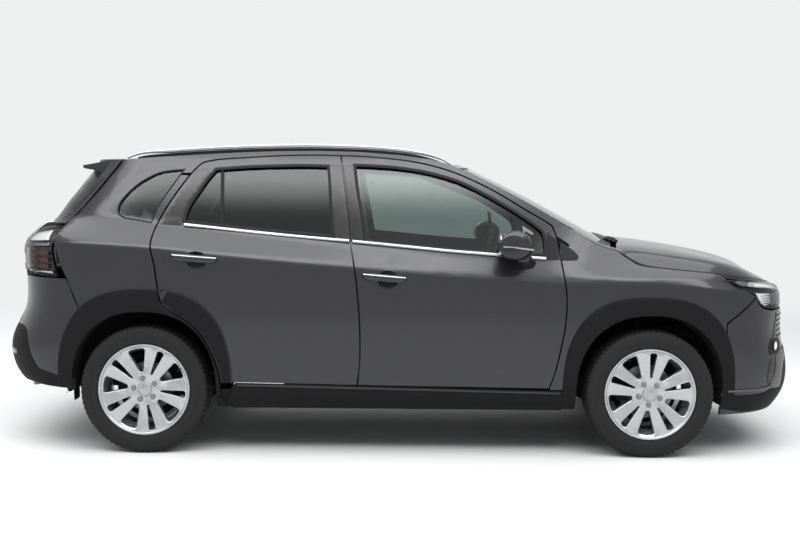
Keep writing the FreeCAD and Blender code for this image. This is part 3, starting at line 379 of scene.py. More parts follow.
def at_wheel(centre, out, a, r, t):
    return (centre[0] + r * math.cos(t), centre[1] + out * a, centre[2] + r * math.sin(t))


def lathe(centre, out, profile, steps, closed=True):
    # profile of (outward distance, radius) turned about the wheel's axis
    rings = [[at_wheel(centre, out, a, r, 2 * math.pi * k / steps) for a, r in profile] for k in range(steps)]
    return rings_to_mesh(rings, closed, around=True)


def tyre(end, side):
    centre, out = wheel_place(end, side)
    side_wall = [(0.080, RIM_R - 0.012), (0.089, RIM_R - 0.004), (0.0925, RIM_R + 0.004), (0.096, RIM_R + 0.009),
                 (0.1005, RIM_R + 0.0105), (0.1015, RIM_R + 0.0145), (0.1035, RIM_R + 0.022), (0.1055, RIM_R + 0.032),
                 (0.1062, RIM_R + 0.040), (0.1072, RIM_R + 0.0405), (0.1072, RIM_R + 0.0435), (0.1064, RIM_R + 0.044),
                 (0.1062, RIM_R + 0.055), (0.1045, RIM_R + 0.068), (0.1025, RIM_R + 0.0755), (0.1012, RIM_R + 0.0765),
                 (0.0985, RIM_R + 0.0840)]
    shoulder = [(0.0945, 0.3215), (0.0880, 0.3258)]
    tread = [(0.0700, 0.3288), (0.0500, 0.3296), (0.0490, 0.3296 - GROOVE), (0.0400, 0.3298 - GROOVE),
             (0.0390, 0.3298), (0.0160, 0.3300), (0.0150, 0.33 - GROOVE), (0.0060, 0.33 - GROOVE), (0.0050, 0.33)]
    half = side_wall + shoulder + tread
    profile = half + [(-a, r) for a, r in half[::-1]]
    profile += [(-0.075, RIM_R - 0.012), (-0.070, RIM_R + 0.03), (0.070, RIM_R + 0.03), (0.075, RIM_R - 0.012)]
    rings = []
    steps = TREAD_PITCH * 4
    edge = len(side_wall)
    # four steps to each tread block: a notch in the shoulder, and a cut in the tread two steps on
    for k in range(steps):
        t = 2.0 * math.pi * k / steps
        notch = k % 4 == 0
        cut = (k + 2) % 4 == 0
        ring = []
        for i, (a, r) in enumerate(profile):
            j = min(i, 2 * len(half) - 1 - i)
            if notch and edge - 2 <= j <= edge + 2:
                r = r - SHOULDER_NOTCH
            if cut and j in (len(half) - 4, len(half) - 3):
                r = r - TREAD_CUT
            ring.append(at_wheel(centre, out, a, r, t + TREAD_SLANT * (abs(a) > 0.07) * math.copysign(1.0, a)))
        rings.append(ring)
    body = "wheel_%s_%s" % (end, side)
    piece(body + "_tyre_tread", *rings_to_mesh(rings, around=True), RUBBER, body, 28.0, replaces=body + "_tyre")


def soften(points, r):
    # closed outline with its corners cut to arcs
    p = [np.array(q, float) for q in points]
    out = []
    for a, b, c in zip(p[-1:] + p[:-1], p, p[1:] + p[:1]):
        d = min(r, 0.45 * np.linalg.norm(a - b), 0.45 * np.linalg.norm(c - b))
        start = b + (a - b) / np.linalg.norm(a - b) * d
        end = b + (c - b) / np.linalg.norm(c - b) * d
        out += [tuple((1 - t) ** 2 * start + 2 * t * (1 - t) * b + t * t * end) for t in np.linspace(0, 1, 6)]
    return out


def spread(points, spacing):
    # points added along the sides of a closed outline
    out = []
    for a, b in zip(points, points[1:] + points[:1]):
        a, b = np.array(a), np.array(b)
        n = max(1, int(np.linalg.norm(b - a) / spacing))
        out += [tuple(a + (b - a) * k / n) for k in range(n)]
    return out


FACE_RADIUS = 226.0
CAP_RADIUS = 38.5
WHEEL_DISH = [(0.0, 79.0), (40.0, 80.0), (75.0, 79.0), (110.0, 77.5), (150.0, 79.5), (185.0, 84.0), (205.0, 88.0),
              (226.0, 91.0)]
WIDE_OPENING = [(-9, 90), (9, 90), (43, 198), (36, 208), (0, 212), (-36, 208), (-43, 198)]
NARROW_OPENING = [(-5, 82), (5, 82), (18, 204), (13, 212), (0, 214), (-13, 212), (-18, 204)]
SPOKE_RELIEF = 9.0
RELIEF_START = 45.0
RELIEF_RISE = 60.0
RELIEF_END = 222.0
RELIEF_FALL = 16.0


def wheel_face(centre, out, slot):
    # millimetres about the wheel's centre, bent to the dish
    def place(p, depth):
        p = np.asarray(p, float)
        r = np.hypot(p[:, 0], p[:, 1])
        a = np.interp(r, *zip(*WHEEL_DISH))
        turn = np.arctan2(p[:, 1], p[:, 0]) - math.radians(slot)
        a = a + (SPOKE_RELIEF * np.cos(5.0 * turn) * np.clip((r - RELIEF_START) / RELIEF_RISE, 0, 1)
                 * np.clip((RELIEF_END - r) / RELIEF_FALL, 0, 1))
        return np.column_stack([centre[0] + p[:, 0] / 1000.0, centre[1] + out * (a - depth) / 1000.0,
                                centre[2] + p[:, 1] / 1000.0])
    rings = [np.array([(r * math.cos(t), r * math.sin(t)) for t in turns(n)])
             for r, n in ((FACE_RADIUS, 180), (CAP_RADIUS, 48))]
    for shape, start, corner in ((WIDE_OPENING, slot + 36.0, 9.0), (NARROW_OPENING, slot, 5.0)):
        for k in range(5):
            t = math.radians(start + 72.0 * k)
            ring = spread(soften(shape, corner), 6.0)
            rings.append(np.array([(r * math.cos(t) - u * math.sin(t), r * math.sin(t) + u * math.cos(t))
                                   for u, r in ring]))
    return panel(rings, place, 34.0, 3.2, 0.0, 9.0)


NUT_CIRCLE = 0.057
NUT_SEAT = [(0.0800, 0.0150), (0.0792, 0.0142), (0.0760, 0.0140)]
NUT = [(0.0805, 0.0098), (0.0860, 0.0098), (0.0875, 0.0080), (0.0878, 0.0030)]


def rim(end, side, slot):
    centre, out = wheel_place(end, side)
    barrel = [(0.094, RIM_R + 0.003), (0.097, RIM_R + 0.001), (0.0965, RIM_R - 0.006), (0.092, RIM_R - 0.010),
              (0.089, RIM_R - 0.012), (0.078, RIM_R - 0.014), (0.060, RIM_R - 0.018), (0.030, RIM_R - 0.036),
              (-0.050, RIM_R - 0.040), (-0.070, RIM_R - 0.022), (-0.088, RIM_R - 0.012), (-0.094, RIM_R - 0.004),
              (-0.096, RIM_R + 0.003), (-0.088, RIM_R + 0.002), (-0.084, RIM_R - 0.006), (-0.066, RIM_R - 0.014),
              (-0.046, RIM_R - 0.032), (0.028, RIM_R - 0.028), (0.066, RIM_R - 0.010), (0.086, RIM_R - 0.006)]
    hub = [(0.050, 0.0), (0.050, 0.078), (0.060, 0.080), (0.0785, 0.080), (0.0790, 0.040), (0.0775, 0.0365),
           (0.0775, 0.0)]
    body = "wheel_%s_%s" % (end, side)
    name = body + "_rim"
    spokes = join([lathe(centre, out, barrel, 120), lathe(centre, out, hub, 80, closed=False),
                   wheel_face(centre, out, slot)])
    piece(name + "_spokes", *spokes, ALLOY, body, 30.0, replaces=name)
    parts = []
    for k in range(5):
        t0 = math.radians(slot + 36.0 + 72.0 * k)
        cx, cz = NUT_CIRCLE * math.cos(t0), NUT_CIRCLE * math.sin(t0)
        for profile, sides, off in ((NUT_SEAT, 24, 0.0005), (NUT, 6, 0.0)):
            parts.append(rings_to_mesh([[(centre[0] + cx + r * math.cos(q), centre[1] + out * (a + off),
                                          centre[2] + cz + r * math.sin(q)) for q in turns(sides)]
                                        for a, r in profile]))
    piece(name + "_nuts", *join(parts), STEEL, body, 25.0)
    cap = [(0.0775, 0.0362), (0.0815, 0.0358), (0.0835, 0.034), (0.0838, 0.028), (0.0830, 0.026), (0.0845, 0.020),
           (0.0855, 0.010), (0.0858, 0.0005)]
    rings = [[at_wheel(centre, out, a, r, 2 * math.pi * k / 48) for k in range(48)] for a, r in cap]
    piece(name + "_centre_cap", *rings_to_mesh(rings), SATIN, body, 30.0)
    t0 = math.radians(slot + 36.0)
    valve = tube([at_wheel(centre, out, 0.078, RIM_R - 0.020, t0), at_wheel(centre, out, 0.092, RIM_R - 0.034, t0)],
                 0.0042, 10)
    piece(name + "_valve", *valve, RUBBER, body)


# Body side: half widths at stations along the body and heights, in millimetres

FRONT_AXLE = 1283.0
REAR_AXLE = -1317.0
CREASE = [(-1760, 1102), (-1250, 1073), (-870, 1031), (-260, 983), (250, 944), (810, 915),
          (1215, 926), (1420, 914), (1680, 888), (1900, 860)]
WAIST = [(-1790, 1218), (-1450, 1203), (-1258, 1178), (-780, 1136), (-264, 1087), (249, 1044),
         (708, 1011), (1100, 1005), (1900, 985)]
LOW = [(225, 780), (270, 826), (330, 852), (430, 864), (560, 874), (700, 880), (860, 881)]
HIGH = [(1000, 838), (1064, 812), (1200, 768), (1300, 735), (1400, 698), (1480, 664), (1548, 636), (1580, 600)]
WING = [(925, 868), (955, 842), (985, 806), (1030, 750), (1080, 700), (1200, 640), (1580, 500)]
NOSE = [(190, 2075), (260, 2118), (320, 2142), (400, 2150), (465, 2150), (530, 2132), (564, 2118), (640, 2106),
        (740, 2106), (800, 2104), (840, 2097), (870, 2068), (905, 2010), (940, 1935), (1000, 1880), (1100, 1840)]
TAIL = [(280, -2030), (320, -2070), (360, -2105), (410, -2135), (470, -2150), (560, -2150), (610, -2125),
        (660, -2098), (730, -2066), (800, -2056), (900, -2062), (1000, -2072), (1060, -2068), (1120, -2042),
        (1165, -1990), (1205, -1925), (1280, -1868), (1340, -1818), (1400, -1768), (1470, -1712), (1600, -1640)]
NOSE_ROUND = 3.3
TAIL_ROUND = 3.4
NOSE_START = 1150.0
TAIL_START = -1250.0
WING_START = 800.0
WING_BLEND = 400.0
WING_FOOT = 925.0
NOSE_REACH = 0.97
TAIL_REACH = 0.84
AXLE_Z = 330.0


def line(points, t):
    return float(np.interp(t, *zip(*points)))


def half_width(x, z):
    crease = line(CREASE, x)
    waist = line(WAIST, x)
    if z <= crease:
        y = line(LOW + [(max(crease - 30.0, 870.0), 879), (max(crease, 880.0), 868)], z)
    elif z <= waist:
        y = 868.0 + (line(HIGH, waist) - 868.0) * (z - crease) / (waist - crease)
    else:
        y = line(HIGH, z)
    if z > WING_FOOT and x > WING_START:
        k = min(1.0, (x - WING_START) / WING_BLEND)
        y = (1.0 - k) * y + k * line(WING, z)
    return y


def rounded(x, z):
    y = half_width(x, z)
    if x > NOSE_START:
        t = min(NOSE_REACH, (x - NOSE_START) / (line(NOSE, z) - NOSE_START))
        y = y * (1.0 - t ** NOSE_ROUND) ** (1.0 / NOSE_ROUND)
    if x < TAIL_START:
        t = min(TAIL_REACH, (TAIL_START - x) / (TAIL_START - line(TAIL, z)))
        y = y * (1.0 - t ** TAIL_ROUND) ** (1.0 / TAIL_ROUND)
    return y


def spline_weights(n, degree, count):
    # weights of n poles at evenly spread places on a clamped spline
    inner = list(range(1, n - degree))
    knots = [0.0] * (degree + 1) + [float(k) for k in inner] + [float(n - degree)] * (degree + 1)
    places = np.linspace(0.0, n - degree - 1e-9, count)
    weights = np.array([[1.0 if knots[i] <= t < knots[i + 1] else 0.0 for i in range(len(knots) - 1)]
                        for t in places])
    for d in range(1, degree + 1):
        rise = np.zeros((count, len(knots) - 1 - d))
        for i in range(len(knots) - 1 - d):
            a = knots[i + d] - knots[i]
            b = knots[i + d + 1] - knots[i + 1]
            if a > 0:
                rise[:, i] += (places - knots[i]) / a * weights[:, i]
            if b > 0:
                rise[:, i] += (knots[i + d + 1] - places) / b * weights[:, i + 1]
        weights = rise
    return weights


SIDE_STEP_X = 4.0
SIDE_STEP_Z = 2.5
SIDE_X = np.arange(-1850.0, 1850.1, SIDE_STEP_X)
SIDE_Z = np.arange(225.0, 1590.1, SIDE_STEP_Z)


def side_table():
    # half width of the smooth body side on an even grid of places
    stations = [-1850, -1780, -1700, -1600, -1480, -1340, -1180, -950, -700, -400, -100, 200, 500, 750,
                900, 1050, 1180, 1320, 1460, 1580, 1680, 1770, 1850]
    poles = []
    for x in stations:
        c = line(CREASE, x)
        w = line(WAIST, x)
        heights = [225, 262, 300, 350, 430, 540, 660, 760, c - 70, c - 22, c - 6, c + 8, c + 24,
                   (c + w) / 2 + 6, w, w + (1330 - w) * 0.35, w + (1330 - w) * 0.7, 1330, 1410, 1480, 1530,
                   1560, 1590]
        poles.append([(x, rounded(x, z), z) for z in heights])
    poles = np.array(poles, float)
    along = spline_weights(len(stations), 3, 900)
    up = spline_weights(poles.shape[1], 2, 700)
    grid = np.einsum("ui,ijk,vj->uvk", along, poles, up)
    columns = np.array([np.interp(SIDE_Z, c[:, 2], c[:, 1]) for c in grid])
    xs = grid[:, 0, 0]
    return np.array([np.interp(SIDE_X, xs, columns[:, j]) for j in range(len(SIDE_Z))]).T


SIDE = side_table()


def bilinear(table, u, v):
    # value of a table between its cells
    i, j = u.astype(int), v.astype(int)
    a, b = u - i, v - j
    return ((1 - a) * (1 - b) * table[i, j] + a * (1 - b) * table[i + 1, j] + (1 - a) * b * table[i, j + 1]
            + a * b * table[i + 1, j + 1])


def side_y(x, z):
    # half width at arrays of places
    u = np.clip((np.asarray(x, float) - SIDE_X[0]) / SIDE_STEP_X, 0, len(SIDE_X) - 1.001)
    v = np.clip((np.asarray(z, float) - SIDE_Z[0]) / SIDE_STEP_Z, 0, len(SIDE_Z) - 1.001)
    return bilinear(SIDE, u, v)


def on_side(hand):
    # places on the body side to points in metres; depth is measured inwards
    def place(p, depth):
        p = np.asarray(p, float)
        y = side_y(p[:, 0], p[:, 1]) - depth
        return np.column_stack([p[:, 0], hand * y, p[:, 1]]) / 1000.0
    return place


def ring_offset(points, d):
    # moves a closed outline outward by d, or inward when d is negative
    p = np.array(points, float)
    before, after = np.roll(p, 1, 0), np.roll(p, -1, 0)
    area = np.sum(before[:, 0] * p[:, 1] - p[:, 0] * before[:, 1])
    s = d if area > 0 else -d
    a, b = p - before, after - p
    a /= np.maximum(np.linalg.norm(a, axis=1), 1e-9)[:, None]
    b /= np.maximum(np.linalg.norm(b, axis=1), 1e-9)[:, None]
    na = np.column_stack([a[:, 1], -a[:, 0]])
    nb = np.column_stack([b[:, 1], -b[:, 0]])
    k = np.maximum(0.35, 1.0 + np.sum(na * nb, axis=1))
    return p + s * (na + nb) / k[:, None]


def outline(points, spacing, corner=0.5):
    # closed outline made of smooth runs between its sharp corners
    p = [tuple(map(float, q)) for q in points]
    n = len(p)
    corners = []
    for i in range(n):
        a, b, c = p[i - 1], p[i], p[(i + 1) % n]
        turn = math.atan2(c[1] - b[1], c[0] - b[0]) - math.atan2(b[1] - a[1], b[0] - a[0])
        turn = abs((turn + math.pi) % (2.0 * math.pi) - math.pi)
        if turn > corner:
            corners.append(i)
    if len(corners) < 2:
        corners = [0, n // 2]
    out = []
    for a, b in zip(corners, corners[1:] + [corners[0] + n]):
        run = [p[k % n] for k in range(a, b + 1)]
        length = sum(math.dist(q, r) for q, r in zip(run, run[1:]))
        count = max(2, int(length / spacing) + 1)
        out.extend(smooth_run(run, count)[:-1])
    return np.array(out)


def inside(points, ring):
    # which of the points lie inside a closed outline
    p = np.asarray(points, float)
    r = np.asarray(ring, float)
    hit = np.zeros(len(p), bool)
    for a, b in zip(r, np.roll(r, -1, 0)):
        cross = (a[1] > p[:, 1]) != (b[1] > p[:, 1])
        if cross.any():
            x = a[0] + (p[:, 1] - a[1]) * (b[0] - a[0]) / (b[1] - a[1] + 1e-12)
            hit ^= cross & (p[:, 0] < x)
    return hit


def panel(rings, place, thickness, roll, proud, grid):
    # sheet between an outline and its holes, with rolled edges and a turned-in flange
    rings = [np.asarray(r, float) for r in rings]
    flat = [ring_offset(r, -roll if i == 0 else roll) for i, r in enumerate(rings)]
    lo, hi = flat[0].min(0), flat[0].max(0)
    gx, gz = np.meshgrid(np.arange(lo[0] + grid * 0.37, hi[0], grid), np.arange(lo[1] + grid * 0.41, hi[1], grid))
    inner = np.column_stack([gx.ravel(), gz.ravel()])
    keep = inside(inner, ring_offset(flat[0], -grid * 0.35))
    for r in flat[1:]:
        keep &= ~inside(inner, ring_offset(r, grid * 0.35))
    inner = inner[keep]
    near = np.full(len(inner), 1e9)
    for r in flat:
        for k in range(0, len(inner), 4000):
            d = np.linalg.norm(inner[k:k + 4000, None, :] - r[None, :, :], axis=2).min(axis=1)
            near[k:k + 4000] = np.minimum(near[k:k + 4000], d)
    inner = inner[near > grid * 0.3]
    points = [Vector(p) for r in flat for p in r] + [Vector(p) for p in inner]
    edges = []
    base = 0
    for r in flat:
        edges += [(base + i, base + (i + 1) % len(r)) for i in range(len(r))]
        base += len(r)
    found = delaunay_2d_cdt(points, edges, [], 0, 1e-5)
    co = np.array([(v[0], v[1]) for v in found[0]])
    tris = np.array([f for f in found[2]])
    mid = co[tris].mean(axis=1)
    keep = inside(mid, flat[0])
    for r in flat[1:]:
        keep &= ~inside(mid, r)
    tris = tris[keep]
    verts = [tuple(p) for p in place(co, -proud)]
    faces = [tuple(int(i) for i in f) for f in tris]
    where = {}
    for new, olds in enumerate(found[3]):
        for old in olds:
            where[old] = new
    base = 0
    for r, f in zip(rings, flat):
        n = len(r)
        last = [where[base + k] for k in range(n)]
        base += n
        wall = [(f + (r - f) * math.sin(a), -proud + roll * (1.0 - math.cos(a)))
                for a in (math.radians(30.0), math.radians(60.0), math.radians(90.0))]
        for places, depth in wall + [(r, -proud + thickness)]:
            start = len(verts)
            verts += [tuple(p) for p in place(places, depth)]
            ring = list(range(start, len(verts)))
            faces += [(last[k], last[(k + 1) % n], ring[(k + 1) % n], ring[k]) for k in range(n)]
            last = ring
    return verts, faces


for wheel_end, wheel_slot in (("front", SLOT_FRONT), ("rear", SLOT_REAR)):
    for _, wheel_side in HANDS:
        tyre(wheel_end, wheel_side)
        rim(wheel_end, wheel_side, wheel_slot)


def brake_shield(end, side):
    # thin pressed plate between the brake disc and the hub carrier
    centre, out = wheel_place(end, side)
    profile = [(-0.058, 0.060), (-0.058, 0.110), (-0.061, 0.118), (-0.061, 0.160), (-0.054, 0.171), (-0.0525, 0.172),
               (-0.0595, 0.1615), (-0.0625, 0.160), (-0.0625, 0.117), (-0.0595, 0.109), (-0.0595, 0.060)]
    body = "knuckle_" + side if end == "front" else "body"
    piece("brake_shield_%s_%s" % (end, side), *lathe(centre, out, profile, 72), UNDERBODY, body, 30.0)


for wheel_end in ("front", "rear"):
    for _, wheel_side in HANDS:
        brake_shield(wheel_end, wheel_side)


# Outlines on the body side, seen from the side, in millimetres

B_LINE = [(-321, 1543), (-305, 1441), (-293, 1363), (-280, 1260), (-270, 1183), (-258, 1067), (-241, 983),
          (-224, 860), (-212, 720), (-207, 600), (-208, 490), (-222, 362)]
DOOR_ARCH = [(-1231, 836), (-1222, 790), (-1157, 731), (-1100, 697), (-1043, 652), (-990, 581), (-951, 496),
             (-931, 433), (-920, 372)]
FRONT_WINDOW = [(742, 1040), (737, 1135), (717, 1170), (614, 1243), (510, 1306), (407, 1362), (303, 1411),
                (198, 1444), (94, 1467), (-40, 1485), (-168, 1493), (-250, 1495), (-232, 1364), (-208, 1235),
                (-190, 1100), (249, 1060), (560, 1040)]
REAR_WINDOW = [(-347, 1124), (-366, 1285), (-374, 1389), (-385, 1489), (-534, 1491), (-796, 1482),
               (-974, 1468), (-1017, 1412), (-1050, 1359), (-1088, 1299), (-1110, 1255), (-1123, 1193),
               (-780, 1158)]
QUARTER_WINDOW = [(-1290, 1186), (-1380, 1201), (-1434, 1210), (-1462, 1225), (-1471, 1244), (-1468, 1274),
                  (-1455, 1301), (-1418, 1346), (-1369, 1390), (-1318, 1422), (-1267, 1446), (-1215, 1457),
                  (-1136, 1465), (-1176, 1404), (-1222, 1334), (-1262, 1262)]
BELT_TOP_FRONT = [(-262, 1110), (-7, 1087), (249, 1064), (504, 1046), (678, 1033), (744, 1030)]
BELT_TOP_REAR = [(-1123, 1187), (-1040, 1179), (-780, 1153), (-522, 1130), (-276, 1111)]
BELT_BODY = [(-1258, 1177), (-1122, 1165), (-779, 1136), (-264, 1088), (249, 1044), (708, 1011)]
ARCH_FRONT = (FRONT_AXLE, 380.0, 407.0, 2.3)
ARCH_REAR = (REAR_AXLE, 372.0, 405.0, 2.3)
TRIM_FRONT = (FRONT_AXLE, 447.0, 500.0, 2.6)
TRIM_REAR = (REAR_AXLE, 452.0, 520.0, 2.6)
TRIM_FORM = (13.0, 16.0, 6.0)
LINER_FOOT = 262.0
LINER_SUNK = 10.0
LINER_WIDEST = 862.0
TRIM_CROSSING = 79.5
SPLASH_Y = 470.0


PANEL_GRID = 24.0


def shifted(points, dx, dz):
    return [(x + dx, z + dz) for x, z in points]


def side_panel(name, rings, mat, hand, body, proud=1.5, thickness=4.0, roll=2.0, spacing=8.0, corner=0.5,
               replaces=""):
    rings = [outline(r, spacing, corner) for r in rings]
    piece(name, *panel(rings, on_side(hand), thickness, roll, proud, PANEL_GRID), mat, body, 40.0, replaces)


def window_trims(hand, side):
    front, rear = "door_front_" + side, "door_rear_" + side
    for name, ring, body, out, back, form in (
            ("front_window", FRONT_WINDOW, front, 7.0, -9.0, (14.0, 1.6, 2.0)),
            ("rear_window", REAR_WINDOW, rear, 7.0, -9.0, (14.0, 1.6, 2.0)),
            ("quarter_window", QUARTER_WINDOW, "body", 3.0, -5.0, (10.0, 1.2, 1.0))):
        ring = outline(ring, 9.0)
        seal = panel([ring_offset(ring, out), ring_offset(ring, back)], on_side(hand), *form, 40.0)
        piece(name + "_seal_" + side, *seal, BLACK, body, 40.0)
    # black panels over the pillars
    b = [(-313, 1494)] + [(x, z) for x, z in B_LINE if 1160 < z < 1500] + [(-262, 1099)]
    pillar = [(x - 5.0, z) for x, z in b] + [(-345, 1106), (-366, 1285), (-374, 1389), (-385, 1494)]
    side_panel("middle_pillar_trim_rear_" + side, [pillar], GLOSS_BLACK, hand, rear, corner=0.4)
    pillar = [(x + 4.5, z) for x, z in b] + [(-190, 1094), (-208, 1235), (-232, 1364), (-250, 1498)]
    side_panel("middle_pillar_trim_front_" + side, [pillar], GLOSS_BLACK, hand, front, corner=0.4)
    back = [(-1076, 1466), (-1126, 1400), (-1173, 1329), (-1220, 1249), (-1252, 1180)]
    trim = back + [(-1123, 1170), (-1124, 1193), (-1112, 1255), (-1090, 1299), (-1052, 1359), (-1019, 1412),
                   (-976, 1470)]
    side_panel("rear_upright_trim_" + side, [trim], GLOSS_BLACK, hand, rear, corner=0.4)
    # belt strips and the seal under them
    for name, top, body, ends in (("front", BELT_TOP_FRONT, front, (-252.0, 742.0)),
                                  ("rear", BELT_TOP_REAR, rear, (-1121.0, -268.0))):
        xs = np.linspace(ends[0], ends[1], 9)
        upper = [(x, line(top, x)) for x in xs]
        strip = upper + [(x, z - 14.0) for x, z in upper[::-1]]
        side_panel("belt_strip_%s_%s" % (name, side), [strip], SATIN, hand, body, 5.0, 7.0, 3.5, 10.0)
        under = [(x, z - 13.0) for x, z in upper] + [(x, line(BELT_BODY, x)) for x in xs[::-1]]
        side_panel("belt_seal_%s_%s" % (name, side), [under], BLACK, hand, body, 2.5, 4.0, 1.5, 10.0)
    # triangle ahead of the front window, on the door and on the wing
    sail = [(752, 1155), (800, 1119), (806, 1066), (812, 1017), (744, 1012), (744, 1100)]
    side_panel("window_triangle_" + side, [sail], BLACK, hand, front, 2.0, 4.0, 2.0)
    sail = [(815, 1108), (872, 1073), (893, 1056), (911, 1032), (905, 1018), (889, 1013), (823, 1013), (817, 1066)]
    side_panel("wing_triangle_" + side, [sail], BLACK, hand, "body", 2.0, 4.0, 2.0)
    # upright bars across the door glass
    bar = [(-949, 1474), (-932, 1474), (-917, 1168), (-934, 1168)]
    side_panel("rear_glass_bar_" + side, [bar], BLACK, hand, rear, -6.0, 18.0, 2.0)
    bar = [(560, 1240), (584, 1225), (590, 1140), (588, 1048), (566, 1050), (572, 1140)]
    side_panel("front_glass_bar_" + side, [bar], BLACK, hand, front, -6.0, 18.0, 2.0)


HANDLE_FOOT = 4.0
HANDLE_RISE = 26.0
HANDLE_THIN = 3.0
HANDLE_SWELL = 16.0
HANDLE_DEPTH = 9.0


def handle(name, ends, middle, hand, body):
    # bar with a rounded top, standing off the door over a hollow
    def run(t):
        x = ends[0] + (ends[1] - ends[0]) * t
        mid = middle[0] + (middle[1] - middle[0]) * t
        lift = HANDLE_FOOT + HANDLE_RISE * max(0.0, 1.0 - abs(2 * t - 1) ** 4) ** 0.6
        return x, float(side_y([x], [mid])[0]) + lift, mid

    rings = []
    for t in np.linspace(0.0, 1.0, 21):
        x, y, mid = run(t)
        swell = max(0.0, 1.0 - abs(2 * t - 1) ** 5) ** 0.5
        half = HANDLE_THIN + HANDLE_SWELL * swell
        rings.append([metres(x, hand * (y - 8.0 + HANDLE_DEPTH * math.cos(a) * min(1.0, 0.3 + swell)),
                             mid + half * squared(math.sin(a), 0.8)) for a in turns(20)])
    piece(name, *rings_to_mesh(rings), PAINT, body, 50.0)
    edge = []
    for t in np.linspace(0.04, 0.97, 16):
        x, y, mid = run(t)
        edge.append(metres(x, hand * (y - 1.5), mid + 10.0))
    piece(name + "_bright_edge", *tube(edge, 0.0026, 10), CHROME, body)


def handles(hand, side):
    handle("handle_rear_" + side, (-1172, -931), (1019, 1002), hand, "door_rear_" + side)
    handle("handle_front_" + side, (-200, 32), (929, 911), hand, "door_front_" + side)


def arch_points(form, a0, a1, steps=26):
    # part of a wheel opening's outline; angles in degrees from the front
    axle, a, b, n = form
    out = []
    for t in np.linspace(math.radians(a0), math.radians(a1), steps):
        c, s = math.cos(t), math.sin(t)
        out.append((axle + a * squared(c, 2.0 / n), AXLE_Z + b * abs(s) ** (2.0 / n)))
    return out


def arch_trims(hand, side):
    inner = arch_points(ARCH_FRONT, 0, 180)
    outer = arch_points(TRIM_FRONT, 180, 0)
    ring = ([(FRONT_AXLE + 380, 345)] + inner + [(FRONT_AXLE - 380, 240), (FRONT_AXLE - 440, 240)] + outer
            + [(1728, 345)])
    side_panel("front_arch_trim_" + side, [ring], CLADDING, hand, "body", *TRIM_FORM)
    # the rear trim is parted where its outline crosses the door's edge, at an angle in degrees
    inner = arch_points(ARCH_REAR, 0, 180)
    outer = arch_points(TRIM_REAR, 180, TRIM_CROSSING + 1.0)
    door = shifted(DOOR_ARCH, -4.5, -1.0)
    ring = [(-945, 240)] + inner + [(REAR_AXLE - 372, 330), (REAR_AXLE - 452, 330)] + outer[1:] + door + [(-925, 240)]
    side_panel("rear_arch_trim_" + side, [ring], CLADDING, hand, "body", *TRIM_FORM, corner=0.45,
               replaces="rear_arch_trims")
    outer = arch_points(TRIM_REAR, TRIM_CROSSING - 1.0, 3.0)
    ring = outer + [(-868, 371), (-916, 371)] + shifted(DOOR_ARCH[::-1], 4.5, 1.0)[:-1]
    side_panel("door_arch_trim_" + side, [ring], CLADDING, hand, "door_rear_" + side, *TRIM_FORM, corner=0.45)


def arch_liner(name, form, hand, y_in):
    # thin sheet round the wheel opening, from the trim inwards
    curve = arch_points(form, 0, 180, 40)
    curve = [(curve[0][0], LINER_FOOT)] + curve + [(curve[-1][0], LINER_FOOT)]
    path = np.array(curve)
    skin = np.vstack([path, ring_offset(path, 2.5)[::-1]])
    rings = []
    for t in np.linspace(0.0, 1.0, 7):
        rim_y = np.minimum(side_y(skin[:, 0], np.maximum(skin[:, 1], 300.0)) - LINER_SUNK, LINER_WIDEST)
        y = rim_y + (y_in - rim_y) * t
        rings.append([metres(p[0], hand * q, p[1]) for p, q in zip(skin, y)])
    piece(name, *rings_to_mesh(rings), UNDERBODY, "body", 40.0)


def splash_walls(hand, side):
    # pressed walls behind and ahead of each front wheel, inboard of the steered tyre
    def place(p, depth):
        y = SPLASH_Y - depth + 5.0 * np.cos(p[:, 1] / 14.0)
        return np.column_stack([p[:, 0], hand * y, p[:, 1]]) / 1000.0
    behind = [(900, 262), (1028, 262), (1028, 470), (1010, 560), (900, 590)]
    ahead = [(1385, 345), (1640, 300), (1640, 560), (1540, 640), (1385, 640)]
    for name, points in (("front_splash_wall_", behind), ("front_splash_wall_ahead_", ahead)):
        ring = outline(points, 12.0)
        piece(name + side, *panel([ring], place, 4.0, 2.0, 0.0, 12.0), UNDERBODY, "body", 40.0)


def arch_liners(hand, side):
    splash_walls(hand, side)
    arch_liner("front_arch_liner_" + side, ARCH_FRONT, hand, 690.0)
    arch_liner("rear_arch_liner_" + side, ARCH_REAR, hand, 700.0)


def sill_trims(hand, side):
    ring = [(832, 243), (836, 341), (-846, 372), (-866, 330), (-905, 252)]
    side_panel("sill_trim_" + side, [ring], CLADDING, hand, "body", 13.0, 16.0, 7.0)
    xs = np.linspace(-836, 822, 12)
    top = [(x, 365 - (x + 837) / 1658 * 30) for x in xs]
    strip = top + [(x, z - 9.0) for x, z in top[::-1]]
    side_panel("sill_strip_" + side, [strip], GLOSS_BLACK, hand, "body", 17.0, 6.0, 3.0, 12.0)


MIRROR_HEAD = [(492, 1107), (512, 1142), (544, 1162), (574, 1167), (604, 1163), (634, 1148), (654, 1123), (664, 1093),
               (660, 1069), (640, 1043), (616, 1023), (581, 1018), (541, 1020), (511, 1032), (496, 1062)]
MIRROR_LOWER = [(500, 1066), (500, 1050), (513, 1031), (541, 1019), (581, 1016), (618, 1022), (643, 1042), (662, 1066)]
MIRROR_STRIP = [(520, 1071), (520, 1080), (668, 1074), (667, 1065)]
MIRROR_ANCHOR = np.array([506.0, 1092.0])
MIRROR_Y = 848.0
MIRROR_REACH = 161.0


